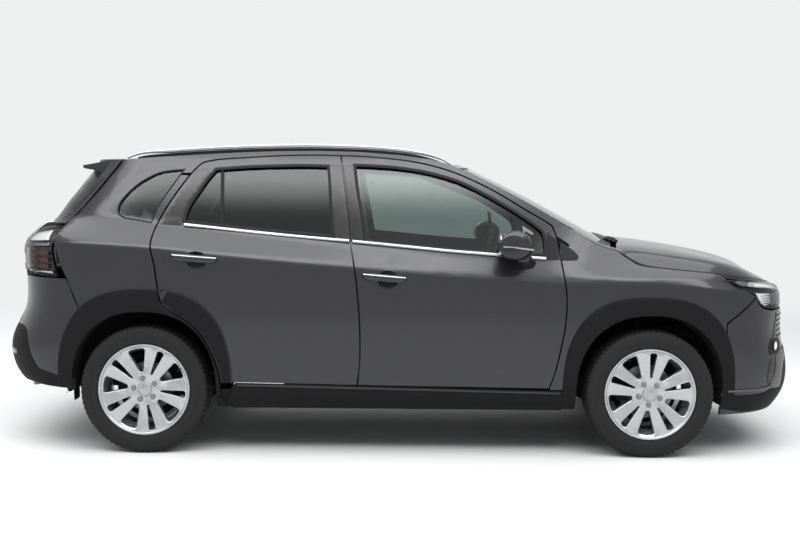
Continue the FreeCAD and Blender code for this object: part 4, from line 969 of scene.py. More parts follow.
def mirror(hand, side):
    body = "door_front_" + side

    def swell(u):
        return max(0.0, 1.0 - abs(2 * u - 1) ** 3.2) ** (1 / 3.2)

    ring = outline(MIRROR_HEAD, 7.0, 3.0)
    rows = []
    for t in np.linspace(0.0, 1.0, 25):
        y = MIRROR_Y + MIRROR_REACH * (0.5 - 0.5 * math.cos(math.pi * t))
        u = (y - MIRROR_Y) / MIRROR_REACH
        k = 0.35 + 0.65 * swell(u) if 0 < t < 1 else 0.33
        points = MIRROR_ANCHOR + (ring - MIRROR_ANCHOR) * k + np.array([0.0, 4.0 * u])
        rows.append([metres(p[0] - 18.0 * u * 0.4, hand * y, p[1]) for p in points])
    piece("mirror_head_" + side, *rings_to_mesh(rows), PAINT, body, 60.0, replaces="mirror_" + side)
    # black lower shell, then the indicator strip
    for name, places, section, grow, off, mat in (
            ("mirror_base_", np.linspace(0.02, 0.98, 21), MIRROR_LOWER, 1.03, 0.0, GLOSS_BLACK),
            ("mirror_indicator_", np.linspace(0.30, 0.99, 19), MIRROR_STRIP, 1.02, 1.5, INDICATOR)):
        rows = []
        for t in places:
            y = MIRROR_Y + (MIRROR_REACH + 1.0) * (0.5 - 0.5 * math.cos(math.pi * t))
            u = (y - MIRROR_Y) / MIRROR_REACH
            k = 0.35 + 0.65 * swell(u)
            points = [MIRROR_ANCHOR + (np.array(p) - MIRROR_ANCHOR) * k * grow + np.array([-7.0 * u, 4.0 * u])
                      for p in section]
            rows.append([metres(p[0], hand * (y + off), p[1]) for p in points])
        piece(name + side, *rings_to_mesh(rows), mat, body, 60.0)
    glass_rings = [[metres(493.0 + depth, hand * (929.0 + 67.0 * grow * squared(math.cos(a), 0.6)),
                           1094.0 + 56.0 * grow * squared(math.sin(a), 0.6)) for a in turns(40)]
                   for depth, grow in ((3.0, 1.0), (0.5, 1.0), (0.0, 0.98))]
    piece("mirror_glass_" + side, *rings_to_mesh(glass_rings), MIRROR, body, 30.0)
    foot = []
    for t in np.linspace(0, 1, 9):
        w, h = 50.0 - 16.0 * t, 42.0 - 20.0 * t
        foot.append([metres(655.0 - 45.0 * t + w * squared(math.cos(a), 0.8), hand * (812.0 + 92.0 * t),
                            976.0 + 62.0 * t + h * squared(math.sin(a), 0.8)) for a in turns(28)])
    piece("mirror_foot_" + side, *rings_to_mesh(foot), GLOSS_BLACK, body, 60.0)


RAIL_Y = 594.0
RAIL_HALF_WIDTH = 15.0
RAIL_TIP = 4.5
RAIL_SWELL = 7.0
RAIL_TOP = [(-1451, 1527), (-1424, 1541), (-1387, 1554), (-1334, 1564), (-1255, 1571), (-1069, 1585), (-805, 1599),
            (-541, 1606), (-329, 1605), (-118, 1597), (-12, 1588), (94, 1573), (147, 1560), (200, 1542), (238, 1521),
            (262, 1506)]
ROOF_UNDER_RAIL = [(-1480, 1508), (-1250, 1528), (-1000, 1543), (-700, 1556), (-400, 1560), (-100, 1554), (100, 1536),
                   (251, 1500)]


def roof_rail(hand, side):
    run = smooth_run(RAIL_TOP, 60)
    rings = []
    for i, (x, z) in enumerate(run):
        t = i / (len(run) - 1.0)
        h = RAIL_TIP + RAIL_SWELL * min(1.0, 8 * t, 8 * (1 - t))
        rings.append([metres(x, hand * (RAIL_Y + RAIL_HALF_WIDTH * squared(math.cos(a), 0.7)),
                             z - h + h * squared(math.sin(a), 0.7)) for a in turns(16)])
    piece("roof_rail_bar_" + side, *rings_to_mesh(rings), SATIN, "body", 50.0, replaces="roof_rails")
    # dark gasket under the bar, sunk in the roof
    gasket = []
    for x, z in run[2:-2]:
        foot = line(ROOF_UNDER_RAIL, x)
        top = max(z - 24.0, foot + 3)
        gasket.append([metres(x, hand * y, height)
                       for y, height in ((584, foot - 6), (604, foot - 6), (603, top), (585, top))])
    piece("roof_rail_gasket_" + side, *rings_to_mesh(gasket), BLACK, "body", 50.0)


for body_hand, body_side in HANDS:
    window_trims(body_hand, body_side)
    handles(body_hand, body_side)
    arch_trims(body_hand, body_side)
    arch_liners(body_hand, body_side)
    sill_trims(body_hand, body_side)
    mirror(body_hand, body_side)
    roof_rail(body_hand, body_side)


# Nose and tail: rounded sections at a row of heights, as the CAD ends have

NOSE_LEVELS = [205, 260, 330, 430, 530, 640, 740, 800, 840, 880, 920]
TAIL_LOW_LEVELS = [292, 325, 365, 420, 480, 540, 600, 680, 760, 840, 900, 960]
TAIL_LEVELS = [630, 700, 760, 840, 920, 1000, 1060, 1110, 1150, 1180]
SCREEN_LEVELS = [1172, 1205, 1280, 1340, 1400, 1470, 1515]


def natural_spline(xs, ys, places):
    # cubic spline through points, straight at its ends
    n = len(xs)
    h = np.diff(xs)
    m = np.zeros((n, n))
    r = np.zeros(n)
    m[0, 0] = m[-1, -1] = 1.0
    for i in range(1, n - 1):
        m[i, i - 1], m[i, i], m[i, i + 1] = h[i - 1], 2 * (h[i - 1] + h[i]), h[i]
        r[i] = 6 * ((ys[i + 1] - ys[i]) / h[i] - (ys[i] - ys[i - 1]) / h[i - 1])
    c = np.linalg.solve(m, r)
    i = np.clip(np.searchsorted(xs, places) - 1, 0, n - 2)
    a, b, d = xs[i + 1] - places, places - xs[i], h[i]
    return ((c[i] * a ** 3 + c[i + 1] * b ** 3) / (6 * d) + (ys[i] / d - c[i] * d / 6) * a
            + (ys[i + 1] / d - c[i + 1] * d / 6) * b)


class End:
    # one end of the body: places are (distance round from the middle, height)
    STEP = 5.0
    SLOPE_REACH = 6.0

    def __init__(self, x0, profile, levels, n, out):
        self.out = out
        self.z = np.arange(levels[0], levels[-1] + 0.1, self.STEP)
        xs = np.array(levels, float)
        tip = natural_spline(xs, np.array([line(profile, v) for v in levels]), self.z)
        wide = natural_spline(xs, np.array([half_width(x0, v) for v in levels]), self.z)
        t = np.linspace(0.0, 1.0, 1500) ** 2.2 * math.pi / 2.0
        self.s = np.arange(0.0, 1900.0, self.STEP)
        self.x = np.zeros((len(self.s), len(self.z)))
        self.y = np.zeros_like(self.x)
        for j in range(len(self.z)):
            y = wide[j] * np.sin(t) ** (2.0 / n)
            x = x0 + (tip[j] - x0) * np.maximum(np.cos(t), 0.0) ** (2.0 / n)
            run = np.concatenate([[0.0], np.cumsum(np.hypot(np.diff(x), np.diff(y)))])
            self.x[:, j] = np.interp(self.s, run, x)
            self.y[:, j] = np.interp(self.s, run, y)

    def read(self, table, s, z):
        u = np.clip(np.abs(s) / self.STEP, 0, len(self.s) - 1.001)
        v = np.clip((z - self.z[0]) / self.STEP, 0, len(self.z) - 1.001)
        return bilinear(table, u, v)

    def place(self, p, depth):
        p = np.asarray(p, float)
        s, z = p[:, 0], p[:, 1]
        x, y = self.read(self.x, s, z), self.read(self.y, s, z)
        after, before = np.abs(s) + self.SLOPE_REACH, np.maximum(np.abs(s) - self.SLOPE_REACH, 0.0)
        dx, dy = [self.read(table, after, z) - self.read(table, before, z) for table in (self.x, self.y)]
        n = np.hypot(dx, dy) + 1e-9
        x = x - self.out * dy / n * depth
        y = y + self.out * dx / n * depth
        return np.column_stack([x, np.sign(s) * y, z]) / 1000.0

    def column(self, table, z):
        return self.read(table, self.s, np.full(len(self.s), float(z)))

    def at_x(self, x, z):
        # distance round at which the end reaches a station
        column = self.column(self.x, z)
        order = np.argsort(column)
        return float(np.interp(x, column[order], self.s[order]))

    def at_y(self, y, z):
        # distance round at which the end reaches a width
        return float(np.interp(y, self.column(self.y, z), self.s))

    def by_x(self, places):
        return [(self.at_x(x, z), z) for x, z in places]

    def by_y(self, places):
        return [(self.at_y(y, z), z) for y, z in places]


FRONT = End(NOSE_START, NOSE, NOSE_LEVELS, NOSE_ROUND, 1.0)
BACK_LOW, BACK, SCREEN = [End(TAIL_START, TAIL, levels, TAIL_ROUND, -1.0)
                          for levels in (TAIL_LOW_LEVELS, TAIL_LEVELS, SCREEN_LEVELS)]


def end_panel(name, end, rings, mat, body="body", *, proud, thickness, roll, grid=PANEL_GRID, spacing=9.0, hand=1.0):
    rings = [outline([(hand * u, z) for u, z in r], spacing) for r in rings]
    piece(name, *panel(rings, end.place, thickness, roll, proud, grid), mat, body, 45.0)


def both(half):
    # outline of a shape that is the same on both sides, from its left half listed from the middle
    return half + [(-u, z) for u, z in half[::-1]]


def front_lower():
    side = [(1684, 322), (1793, 319), (1899, 322), (1951, 338), (1987, 360), (2010, 400)]
    y = FRONT.at_y
    half = ([(0.0, 212)] + FRONT.by_y([(400, 212), (700, 214)]) + FRONT.by_x([(1684, 240)] + side)
            + FRONT.by_y([(700, 470), (640, 520), (560, 545), (300, 550)]))
    intake = FRONT.by_y([(462, 350), (462, 430), (440, 505), (200, 507)])
    hole = both(intake) + [(-y(200, 349), 349), (y(200, 349), 349)]
    end_panel("front_lower_cladding", FRONT, [both(half), hole], CLADDING, proud=2.5, thickness=12.0, roll=4.0)
    skid = FRONT.by_y([(430, 232), (400, 300), (340, 330), (150, 336)])
    ring = both(skid) + [(-y(200, 226), 226), (y(200, 226), 226)]
    end_panel("front_skid_plate", FRONT, [ring], SATIN, proud=8.0, thickness=7.0, roll=5.0)
    for k in range(5):
        z = 368.0 + 28.0 * k
        half = [(y(455, z), z - 5), (y(455, z), z + 5)]
        end_panel("lower_grille_bar_%d" % (k + 1), FRONT, [both(half)], BLACK, proud=-4.0, thickness=14.0, roll=3.0,
                  grid=60.0, spacing=20.0)
    for k in range(15):
        yk = -455 + 65.0 * k
        s0 = math.copysign(y(abs(yk), 430), yk)
        post = [(s0 - 3, 352), (s0 + 3, 352), (s0 + 3, 502), (s0 - 3, 502)]
        end_panel("lower_grille_post_%d" % (k + 1), FRONT, [post], BLACK, proud=-7.0, thickness=12.0, roll=2.0,
                  grid=60.0, spacing=20.0)


def front_corner(hand, side):
    bezel = [(1936, 520), (1930, 566), (1944, 604), (2012, 606), (2034, 566), (2014, 522)]
    end_panel("fog_lamp_bezel_" + side, FRONT, [FRONT.by_x(bezel)], BLACK, proud=3.5, thickness=10.0,
              roll=4.0, hand=hand)
    slot = [(1946, 512), (1988, 514), (1980, 470), (1969, 416), (1948, 366), (1926, 374), (1926, 430), (1934, 476)]
    end_panel("front_air_slot_" + side, FRONT, [FRONT.by_x(slot)], GLOSS_BLACK, proud=3.2,
              thickness=10.0, roll=4.0, hand=hand)
    lip = [(1692, 336), (1692, 348), (1800, 348), (1900, 349), (1958, 360), (1990, 350), (1962, 343), (1900, 337),
           (1800, 336)]
    end_panel("front_lower_lip_" + side, FRONT, [FRONT.by_x(lip)], DARK_SATIN, proud=7.0, thickness=8.0,
              roll=3.5, hand=hand)
    middle = np.array([hand * FRONT.at_x(1978, 562), 562.0])
    spot = FRONT.place(middle[None, :], -3.0)[0]
    ahead = FRONT.place(middle[None, :], -13.0)[0] - spot
    ahead /= np.linalg.norm(ahead)
    u = np.cross(ahead, [0, 0, 1.0])
    u /= np.linalg.norm(u)
    v = np.cross(u, ahead)

    for name, profile, mat in (
            ("ring", [(0.029, -0.006), (0.029, 0.004), (0.027, 0.007), (0.024, 0.005), (0.023, 0.0)], BLACK),
            ("lens", [(0.0235, 0.0), (0.0225, 0.0035), (0.017, 0.006), (0.009, 0.0075), (0.0015, 0.008)],
             LAMP_WHITE)):
        disc = rings_to_mesh([[tuple(spot + ahead * a + (u * math.cos(t) + v * math.sin(t)) * r) for t in turns(40)]
                              for r, a in profile])
        piece("fog_lamp_%s_%s" % (name, side), *disc, mat, "body", 40.0)
    guard = [(2026, 546), (2048, 530), (2054, 497), (2035, 449), (2026, 395), (2017, 340), (1974, 340), (1946, 361),
             (1971, 416), (1980, 475), (1989, 518)]
    end_panel("front_guard_" + side, FRONT, [FRONT.by_x(guard)], DARK_SATIN, proud=9.0, thickness=9.0, roll=5.0,
              hand=hand)


def bar(name, end, width, z0, z1, mat, proud, thickness, roll, spacing, body="body", grid=PANEL_GRID):
    # level bar or plate across the middle of one end
    half = end.by_y([(width, z0), (width, z1)])
    end_panel(name, end, [both(half)], mat, body, proud=proud, thickness=thickness, roll=roll, grid=grid,
              spacing=spacing)


def front_face():
    # bright bar over the grille and frame round it
    bar("grille_top_bar", FRONT, 446, 866, 880, CHROME, 4.0, 8.0, 4.0, 20.0)
    for k, z in enumerate((776, 812, 848)):
        bar("grille_bar_%d" % (k + 1), FRONT, 440, z, z + 10, GLOSS_BLACK, 3.0, 20.0, 3.0, 20.0, grid=60.0)
    surround = FRONT.by_x([(1962, 594), (1974, 660), (1990, 746)])
    end_panel("front_grille_surround", FRONT, [both(surround)], GLOSS_BLACK, proud=2.5, thickness=8.0, roll=3.5,
              spacing=16.0, grid=40.0)
    for k in range(5):
        z = 612.0 + 27.0 * k
        reach = FRONT.at_x(1984, z) - 18.0
        end_panel("front_grille_slat_%d" % (k + 1), FRONT, [both([(reach, z - 4.5), (reach, z + 4.5)])], BLACK,
                  proud=5.5, thickness=6.0, roll=3.0, spacing=20.0, grid=60.0)
    bar("front_plate_holder", FRONT, 262, 590, 702, BLACK, 8.0, 8.0, 3.0, 16.0)
    bar("front_plate_blank", FRONT, 256, 596, 696, PLATE, 11.0, 3.0, 1.5, 16.0)


LAMP_RING = [(1654, 940), (1692, 908), (1733, 875), (1770, 865), (1807, 855), (1840, 831), (1863, 799),
             (1890, 773), (1949, 760), (2030, 764), (2060, 790), (2058, 830), (2040, 866), (2000, 888), (1930, 898),
             (1847, 915)]


LENS_TOP = 918
UNIT_TOP = 916


def headlamp(hand, side):
    ring = [(hand * FRONT.at_x(p, q), min(q, LENS_TOP)) for p, q in LAMP_RING]
    front = panel([outline(ring, 8.0)], FRONT.place, 16.0, 3.0, 1.5, 20.0)
    piece("headlamp_lens_" + side, *front, LENS, "body", 50.0)
    back = panel([ring_offset(outline(ring, 10.0), -2.0)], FRONT.place, -18.0, 1.0, -26.0, 24.0)
    piece("headlamp_bowl_" + side, *back, BLACK, "body", 50.0, replaces="headlamps")

    def block(name, places, mat, proud, roll=4.0):
        ring = FRONT.by_x([(x, min(z, UNIT_TOP)) for x, z in places])
        end_panel("headlamp_%s_%s" % (name, side), FRONT, [ring], mat, proud=proud, thickness=13.0, roll=roll,
                  hand=hand, grid=13.0, spacing=7.0)

    # bright blade along the top, a bright unit under it and a grey one beside that
    block("blade", [(1800, 884), (1850, 876), (1920, 868), (2000, 857), (2042, 852), (2022, 866), (1990, 880),
                    (1940, 892), (1880, 899), (1826, 900)], INDICATOR, -5.0, 4.0)
    block("blade_tip", [(1722, 905), (1758, 888), (1788, 884), (1812, 901), (1770, 910)], LAMP_GREY, -6.0, 4.0)
    block("running_light", [(1850, 882), (1960, 868), (2024, 858), (2016, 866), (1955, 880), (1852, 893)], LAMP_WHITE,
          -3.5, 2.0)
    block("unit", [(1846, 848), (1944, 840), (1952, 786), (1912, 777), (1888, 790), (1864, 818)], LAMP_WHITE, -8.0, 6.0)
    block("side_unit", [(1958, 838), (2060, 832), (2064, 800), (2046, 774), (1964, 780)], LAMP_GREY, -9.0, 6.0)
    for k in range(4):
        z = 790.0 + 13.0 * k
        block("unit_rib_%d" % (k + 1), [(1876, z), (1944, z), (1944, z + 4), (1874, z + 4)], CHROME, -5.0, 1.5)


def rear_lower():
    side = [(-1672, 378), (-1712, 388), (-1775, 400), (-1879, 426), (-1909, 465), (-1930, 517), (-1944, 564),
            (-1954, 606), (-1975, 634)]
    foot = [(-1960, 346), (-1850, 336), (-1672, 328)]
    half = ([(0.0, 360)] + BACK_LOW.by_y([(500, 358)]) + BACK_LOW.by_x(foot + side)
            + BACK_LOW.by_y([(640, 640), (500, 632), (440, 600), (200, 596)]))
    end_panel("rear_lower_cladding", BACK_LOW, [both(half)], CLADDING, proud=2.5, thickness=12.0, roll=4.0)
    skid = BACK_LOW.by_y([(400, 372), (420, 410), (370, 446), (150, 452)])
    foot = BACK_LOW.at_y(200, 366)
    ring = both(skid) + [(-foot, 366), (foot, 366)]
    end_panel("rear_skid_plate", BACK_LOW, [ring], SATIN, proud=7.0, thickness=7.0, roll=5.0)
    for hand, side_name in HANDS:
        reflector = BACK_LOW.by_y([(520, 482), (660, 482), (664, 508), (516, 508)])
        end_panel("rear_reflector_" + side_name, BACK_LOW, [reflector], LAMP_DARK_RED, proud=6.0, thickness=6.0,
                  roll=3.0, hand=hand)


def tail_lamp(hand, side):
    ring = [(-1752, 1163), (-1830, 1161), (-1872, 1157), (-1908, 1146), (-1950, 1127), (-1990, 1112), (-2006, 1063),
            (-2010, 1010), (-2006, 963), (-1990, 930), (-1948, 930), (-1885, 912), (-1833, 908), (-1764, 906),
            (-1783, 954), (-1800, 1038), (-1792, 1101)]
    flat = outline([(hand * u, z) for u, z in BACK.by_x(ring)], 8.0)
    piece("tail_lamp_lens_" + side, *panel([flat], BACK.place, 16.0, 3.0, 1.5, 20.0), TAIL_LENS, "body", 50.0)
    back = panel([ring_offset(flat, -2.0)], BACK.place, -16.0, 1.0, -24.0, 24.0)
    piece("tail_lamp_bowl_" + side, *back, GLOSS_BLACK, "body", 50.0, replaces="tail_lamps")

    def block(name, places, mat, proud, roll=4.0):
        end_panel("tail_lamp_%s_%s" % (name, side), BACK, [BACK.by_x(places)], mat, proud=proud, thickness=12.0,
                  roll=roll, hand=hand, grid=14.0)

    block("white", [(-1828, 1140), (-1930, 1124), (-1978, 1100), (-1984, 1082), (-1900, 1086), (-1836, 1090)],
          LAMP_WHITE, -5.0)
    block("band", [(-1822, 1078), (-1990, 1070), (-1994, 1054), (-1826, 1062)], SATIN, -7.0, 2.5)
    for k, z in enumerate((1036, 1002, 968)):
        block("rib_%d" % (k + 1), [(-1830, z), (-1968, z), (-1966, z - 24), (-1826, z - 24)], LAMP_DARK_RED, -9.0, 3.0)
    block("upright", [(-1978, 1046), (-1994, 1046), (-1992, 940), (-1976, 940)], LAMP_WHITE, -5.0, 3.0)
    block("bright_foot", [(-1800, 934), (-1972, 936), (-1968, 925), (-1794, 921)], CHROME, -4.0, 3.0)


def tailgate_details():
    bar("tailgate_garnish", BACK, 520, 925, 960, GLOSS_BLACK, 5.0, 8.0, 4.0, 16.0, "tailgate")
    bar("rear_plate_holder", BACK, 266, 755, 872, BLACK, 4.0, 8.0, 3.0, 16.0, "tailgate")
    bar("rear_plate_blank", BACK, 258, 762, 864, PLATE, 7.0, 3.0, 1.5, 16.0, "tailgate")
    for hand, side in HANDS:
        ring = BACK.by_y([(330, 1010), (560, 1010), (560, 1100), (380, 1090)])
        end_panel("tailgate_lamp_" + side, BACK, [ring], LAMP_DARK_RED, "tailgate", proud=3.0, thickness=6.0, roll=4.0,
                  hand=hand, grid=18.0)
        blade = [(-1625, 1458), (-1556, 1424), (-1728, 1216), (-1788, 1204)]
        end_panel("tailgate_side_blade_" + side, SCREEN, [SCREEN.by_x(blade)], GLOSS_BLACK, "tailgate", proud=2.5,
                  thickness=5.0, roll=2.0, hand=hand, grid=20.0)
    # wiper on the rear glass
    for name, run, off, radius, sides in (
            ("arm", [(0.5, 1196), (120, 1215), (250, 1232), (360, 1240)], 16.0, [0.010] + [0.007] * 12 + [0.004], 10),
            ("blade", [(150, 1206), (260, 1220), (390, 1232), (470, 1238)], 8.0, 0.005, 8)):
        points = [SCREEN.place(np.array([q]), -off)[0] for q in run]
        piece("rear_wiper_" + name, *tube(smooth_run(points, 14), radius, sides), BLACK, "tailgate")


front_lower()
front_face()
rear_lower()
tailgate_details()
for body_hand, body_side in HANDS:
    front_corner(body_hand, body_side)
    headlamp(body_hand, body_side)
    tail_lamp(body_hand, body_side)


# Seats: padded forms in the places of the plain CAD seats, in millimetres

BOLSTER_AT = 0.80
BOLSTER_WIDTH = 0.14
SEAM_DEPTH = 5.0
SEAM_WIDTH = 0.022
CHANNEL_DEPTH = 4.0
CHANNEL_WIDTH = 9.0
CHANNEL_REACH = 0.62
CROWN = 9.0


def pad(name, ring, y0, y1, facing, mat, replaces, edge=26.0, bolster=16.0, seams=(), channels=()):
    # closed side outline carried across, pulled in at both ends, crowned and grooved where a body meets it
    ring = outline(ring, 14.0, 0.9)
    before, after = np.roll(ring, 1, 0), np.roll(ring, -1, 0)
    along = after - before
    along /= np.linalg.norm(along, axis=1)[:, None]
    area = np.sum(before[:, 0] * ring[:, 1] - ring[:, 0] * before[:, 1])
    out = np.column_stack([along[:, 1], -along[:, 0]]) * (1.0 if area > 0 else -1.0)
    face = np.array(facing, float) / np.hypot(*facing)
    weight = np.clip(out @ face, 0.0, 1.0) ** 1.5
    run = np.concatenate([[0.0], np.cumsum(np.linalg.norm(np.diff(ring, axis=0), axis=1))])
    rings = []
    for t in np.concatenate([[-1.0, -0.995], np.linspace(-0.98, 0.98, 71), [0.995, 1.0]]):
        inset = edge * (1.0 - (1.0 - min(1.0, abs(t)) ** 6) ** 0.5)
        rise = bolster * math.exp(-((abs(t) - BOLSTER_AT) / BOLSTER_WIDTH) ** 2) + CROWN * (1.0 - t * t)
        for seam in seams:
            rise -= SEAM_DEPTH * math.exp(-((t - seam) / SEAM_WIDTH) ** 2)
        lift = weight * (rise - CROWN * 0.5)
        for channel in channels:
            groove = np.exp(-((run - channel * run[-1]) / CHANNEL_WIDTH) ** 2)
            lift = lift - CHANNEL_DEPTH * weight * groove * (abs(t) < CHANNEL_REACH)
        moved = ring_offset(ring, -inset) + out * (lift - bolster)[:, None]
        y = (y0 + y1) / 2.0 + (y1 - y0) / 2.0 * t
        rings.append([metres(q[0], y, q[1]) for q in moved])
    obj = piece(name, *rings_to_mesh(rings), mat, "body", 50.0, replaces=replaces)


SEAT_CUSHION = [(418, 352), (430, 400), (418, 456), (345, 496), (180, 494), (10, 484), (-70, 478), (-130, 440),
                (-140, 352)]
SEAT_BACK = [(-40, 500), (-80, 640), (-130, 800), (-180, 960), (-222, 1100), (-262, 1140), (-306, 1120), (-282, 1000),
             (-240, 800), (-200, 620), (-170, 480), (-130, 440), (-70, 452)]
SEAT_HEAD = [(-214, 1165), (-204, 1230), (-206, 1290), (-240, 1310), (-285, 1300), (-302, 1240), (-306, 1170),
             (-262, 1156)]
REAR_CUSHION = [(-566, 420), (-550, 530), (-600, 570), (-700, 572), (-860, 556), (-960, 545), (-975, 480), (-960, 420)]
REAR_BACK = [(-955, 556), (-1000, 740), (-1045, 920), (-1082, 1070), (-1120, 1092), (-1168, 1078), (-1140, 900),
             (-1108, 720), (-1078, 560), (-1020, 536)]
REAR_HEAD = [(-1080, 1098), (-1078, 1160), (-1090, 1206), (-1130, 1216), (-1164, 1200), (-1172, 1140), (-1166, 1098),
             (-1120, 1092)]


def seats():
    for hand, side in HANDS:
        lo, hi = sorted((hand * 118.0, hand * 607.0))
        pad("front_seat_cushion_" + side, SEAT_CUSHION, lo, hi, (0.1, 1.0), FABRIC, "front_seats",
            seams=(-0.6, 0.6), channels=(0.34, 0.44))
        pad("front_seat_back_" + side, SEAT_BACK, lo, hi, (1.0, 0.35), FABRIC, "front_seats",
            seams=(-0.6, 0.6), channels=(0.10, 0.20, 0.30))
        lo, hi = sorted((hand * 246.0, hand * 484.0))
        pad("front_headrest_" + side, SEAT_HEAD, lo, hi, (1.0, 0.1), BOLSTER, "front_seats", edge=30.0,
            bolster=4.0)
        for k, y in enumerate((315.0, 415.0)):
            post = [(-0.268, hand * y / 1000.0, 1.105), (-0.262, hand * y / 1000.0, 1.185)]
            piece("headrest_post_%d_%s" % (k + 1, side), *tube(post, 0.0065, 12), CHROME, "body")
        lo, hi = sorted((hand * 0.175, hand * 0.550))
        base = rounded_box((-0.115, lo, 0.2586), (0.375, hi, 0.350), 0.012)
        piece("front_seat_base_" + side, *base, CABIN, "body", 40.0, replaces="front_seats")
    pad("rear_seat_cushion", REAR_CUSHION, -547.0, 547.0, (0.0, 1.0), FABRIC, "rear_seat", bolster=6.0,
        seams=(-0.34, 0.34), channels=(0.3,))
    pad("rear_seat_back", REAR_BACK, -547.0, 547.0, (1.0, 0.25), FABRIC, "rear_seat", bolster=6.0,
        seams=(-0.34, 0.34), channels=(0.08, 0.16))
    for k, y in enumerate((-350.0, 0.0, 350.0)):
        pad("rear_headrest_%d" % (k + 1), REAR_HEAD, y - 88.0, y + 88.0, (1.0, 0.1), BOLSTER, "rear_seat",
            edge=24.0, bolster=3.0)


seats()


# Wipers at the foot of the windscreen

SCREEN_FOOT = [(1075, 1072), (1092, 1035), (1156, 908), (1268, 719)]
SCREEN_FOOT_Z = 1075.0
SCREEN_INSET = 66.0
SCREEN_BOW = 125.0
SCREEN_RISE = 12.0


def on_screen(u, z, off):
    # place above the windscreen; u runs across it from -1 to 1
    x = line(SCREEN_FOOT, z)
    y = (rounded(x, z) - SCREEN_INSET) * u
    bow = SCREEN_BOW - (z - SCREEN_FOOT_Z) * 0.12
    lift = SCREEN_RISE * min(1.0, (z - SCREEN_FOOT_Z) / 80.0)
    return metres(x + bow * (1.0 - u * u) + 0.5 * off, y, z + lift * (1.0 - u * u) + 0.87 * off)


def front_wipers():
    for k, (pivot, tip, heel, end) in enumerate(((-0.42, 0.10, -0.52, 0.42), (0.30, 0.74, 0.20, 0.90))):
        arm = [on_screen(pivot, 1078, 14), on_screen(pivot + 0.04, 1088, 16), on_screen((pivot + tip) / 2, 1096, 15),
               on_screen(tip, 1106, 12)]
        piece("wiper_arm_%d" % (k + 1), *tube(smooth_run(arm, 16), [0.011, 0.011, 0.010] + [0.007] * 13, 10, flat=0.8),
              BLACK, "body", 50.0)
        blade = [on_screen(heel + (end - heel) * t, 1096 + 18 * t, 7) for t in np.linspace(0, 1, 18)]
        piece("wiper_blade_%d" % (k + 1), *tube(blade, [0.003] + [0.0058] * 16 + [0.003], 8), BLACK, "body", 50.0)


front_wipers()


# Black border of the windscreen, fitted to the pane's own surface, in metres

BORDER_PROUD = 0.0012
BORDER_SUNK = 0.001
BORDER_TOP = (0.002, 0.060)
BORDER_FOOT = (0.055, 0.003)
BORDER_SIDE = (0.040, 0.002)


def windscreen_border():
    mesh = NODES["windscreen"].data
    pane = BVHTree.FromPolygons([v.co for v in mesh.vertices], [tuple(p.vertices) for p in mesh.polygons])

    def height(x, y):
        hit = pane.ray_cast(Vector((x, y, 3.0)), Vector((0.0, 0.0, -1.0)))[0]
        return None if hit is None else hit.z

    def edge(inside, outside, place):
        # last place with glass, on the way from inside to outside
        for _ in range(18):
            middle = (inside + outside) / 2.0
            if height(*place(middle)) is None:
                outside = middle
            else:
                inside = middle
        return inside

    def strip(name, rows):
        rings = []
        for a, b in rows:
            za, zb = height(*a), height(*b)
            if za is None or zb is None:
                continue
            rings.append([(*a, za + BORDER_PROUD), (*b, zb + BORDER_PROUD), (*b, zb - BORDER_SUNK),
                          (*a, za - BORDER_SUNK)])
        piece(name, *rings_to_mesh(rings), BLACK, "body", 40.0)

    top, foot = [], []
    for y in np.linspace(-0.60, 0.60, 49):
        x = edge(0.60, 0.15, lambda v: (v, y))
        top.append(((x + BORDER_TOP[0], y), (x + BORDER_TOP[1], y)))
        x = edge(0.80, 1.30, lambda v: (v, y))
        foot.append(((x - BORDER_FOOT[0], y), (x - BORDER_FOOT[1], y)))
    strip("windscreen_border_top", top)
    strip("windscreen_border_foot", foot)
    for hand, side in HANDS:
        rows = []
        for x in np.linspace(0.33, 1.07, 60):
            if height(x, hand * 0.45) is None:
                continue
            y = edge(0.45, 0.95, lambda v: (x, hand * v))
            rows.append(((x, hand * (y - BORDER_SIDE[0])), (x, hand * (y - BORDER_SIDE[1]))))
        strip("windscreen_border_" + side, rows)


windscreen_border()


# Foot of each windscreen pillar, between the pane and the wing, in millimetres

FOOT_INNER = [(880, 1172), (920, 1154), (960, 1133), (1000, 1112), (1040, 1093), (1080, 1077), (1118, 1070)]
FOOT_OUTER = [(880, 1156), (920, 1143), (960, 1122), (1000, 1102), (1040, 1085), (1080, 1072), (1118, 1062)]
FOOT_Y = 662.0
FOOT_WIDTH = 82.0
FOOT_CROWN = 5.0


def pillar_foot(hand, side):
    def place(p, depth):
        x, y = p[:, 0], p[:, 1]
        t = np.clip((y - FOOT_Y) / FOOT_WIDTH, 0.0, 1.0)
        inner = np.interp(x, *zip(*FOOT_INNER))
        outer = np.interp(x, *zip(*FOOT_OUTER))
        z = inner + (outer - inner) * t + FOOT_CROWN * np.sin(math.pi * t) - depth
        return np.column_stack([x, hand * y, z]) / 1000.0
    ring = [(892, 668), (1000, 667), (1060, 664), (1116, 660), (1117, 742), (1000, 745), (908, 746), (894, 720)]
    piece("pillar_foot_" + side, *panel([outline(ring, 10.0)], place, 9.0, 2.5, 2.0, 12.0), PAINT, "body", 45.0)


for body_hand, body_side in HANDS:
    pillar_foot(body_hand, body_side)


# Stage, light and camera, in metres: the camera's place and lens were solved from the wheels and the outline

PALE = (0.86, 0.865, 0.87, 1.0)
ROOM = (0.62, 0.64, 0.66, 1.0)


def seen_background(tree):
    # 1 for what the camera sees, straight, in a reflection or through glass
    path = add(tree, "LightPath")
    last = path.outputs["Is Camera Ray"]
    for ray in ("Is Glossy Ray", "Is Transmission Ray"):
        either = add(tree, "Math")
        either.operation = "MAXIMUM"
        link(tree, (last, either.inputs[0]), (path.outputs[ray], either.inputs[1]))
        last = either.outputs[0]
    return last


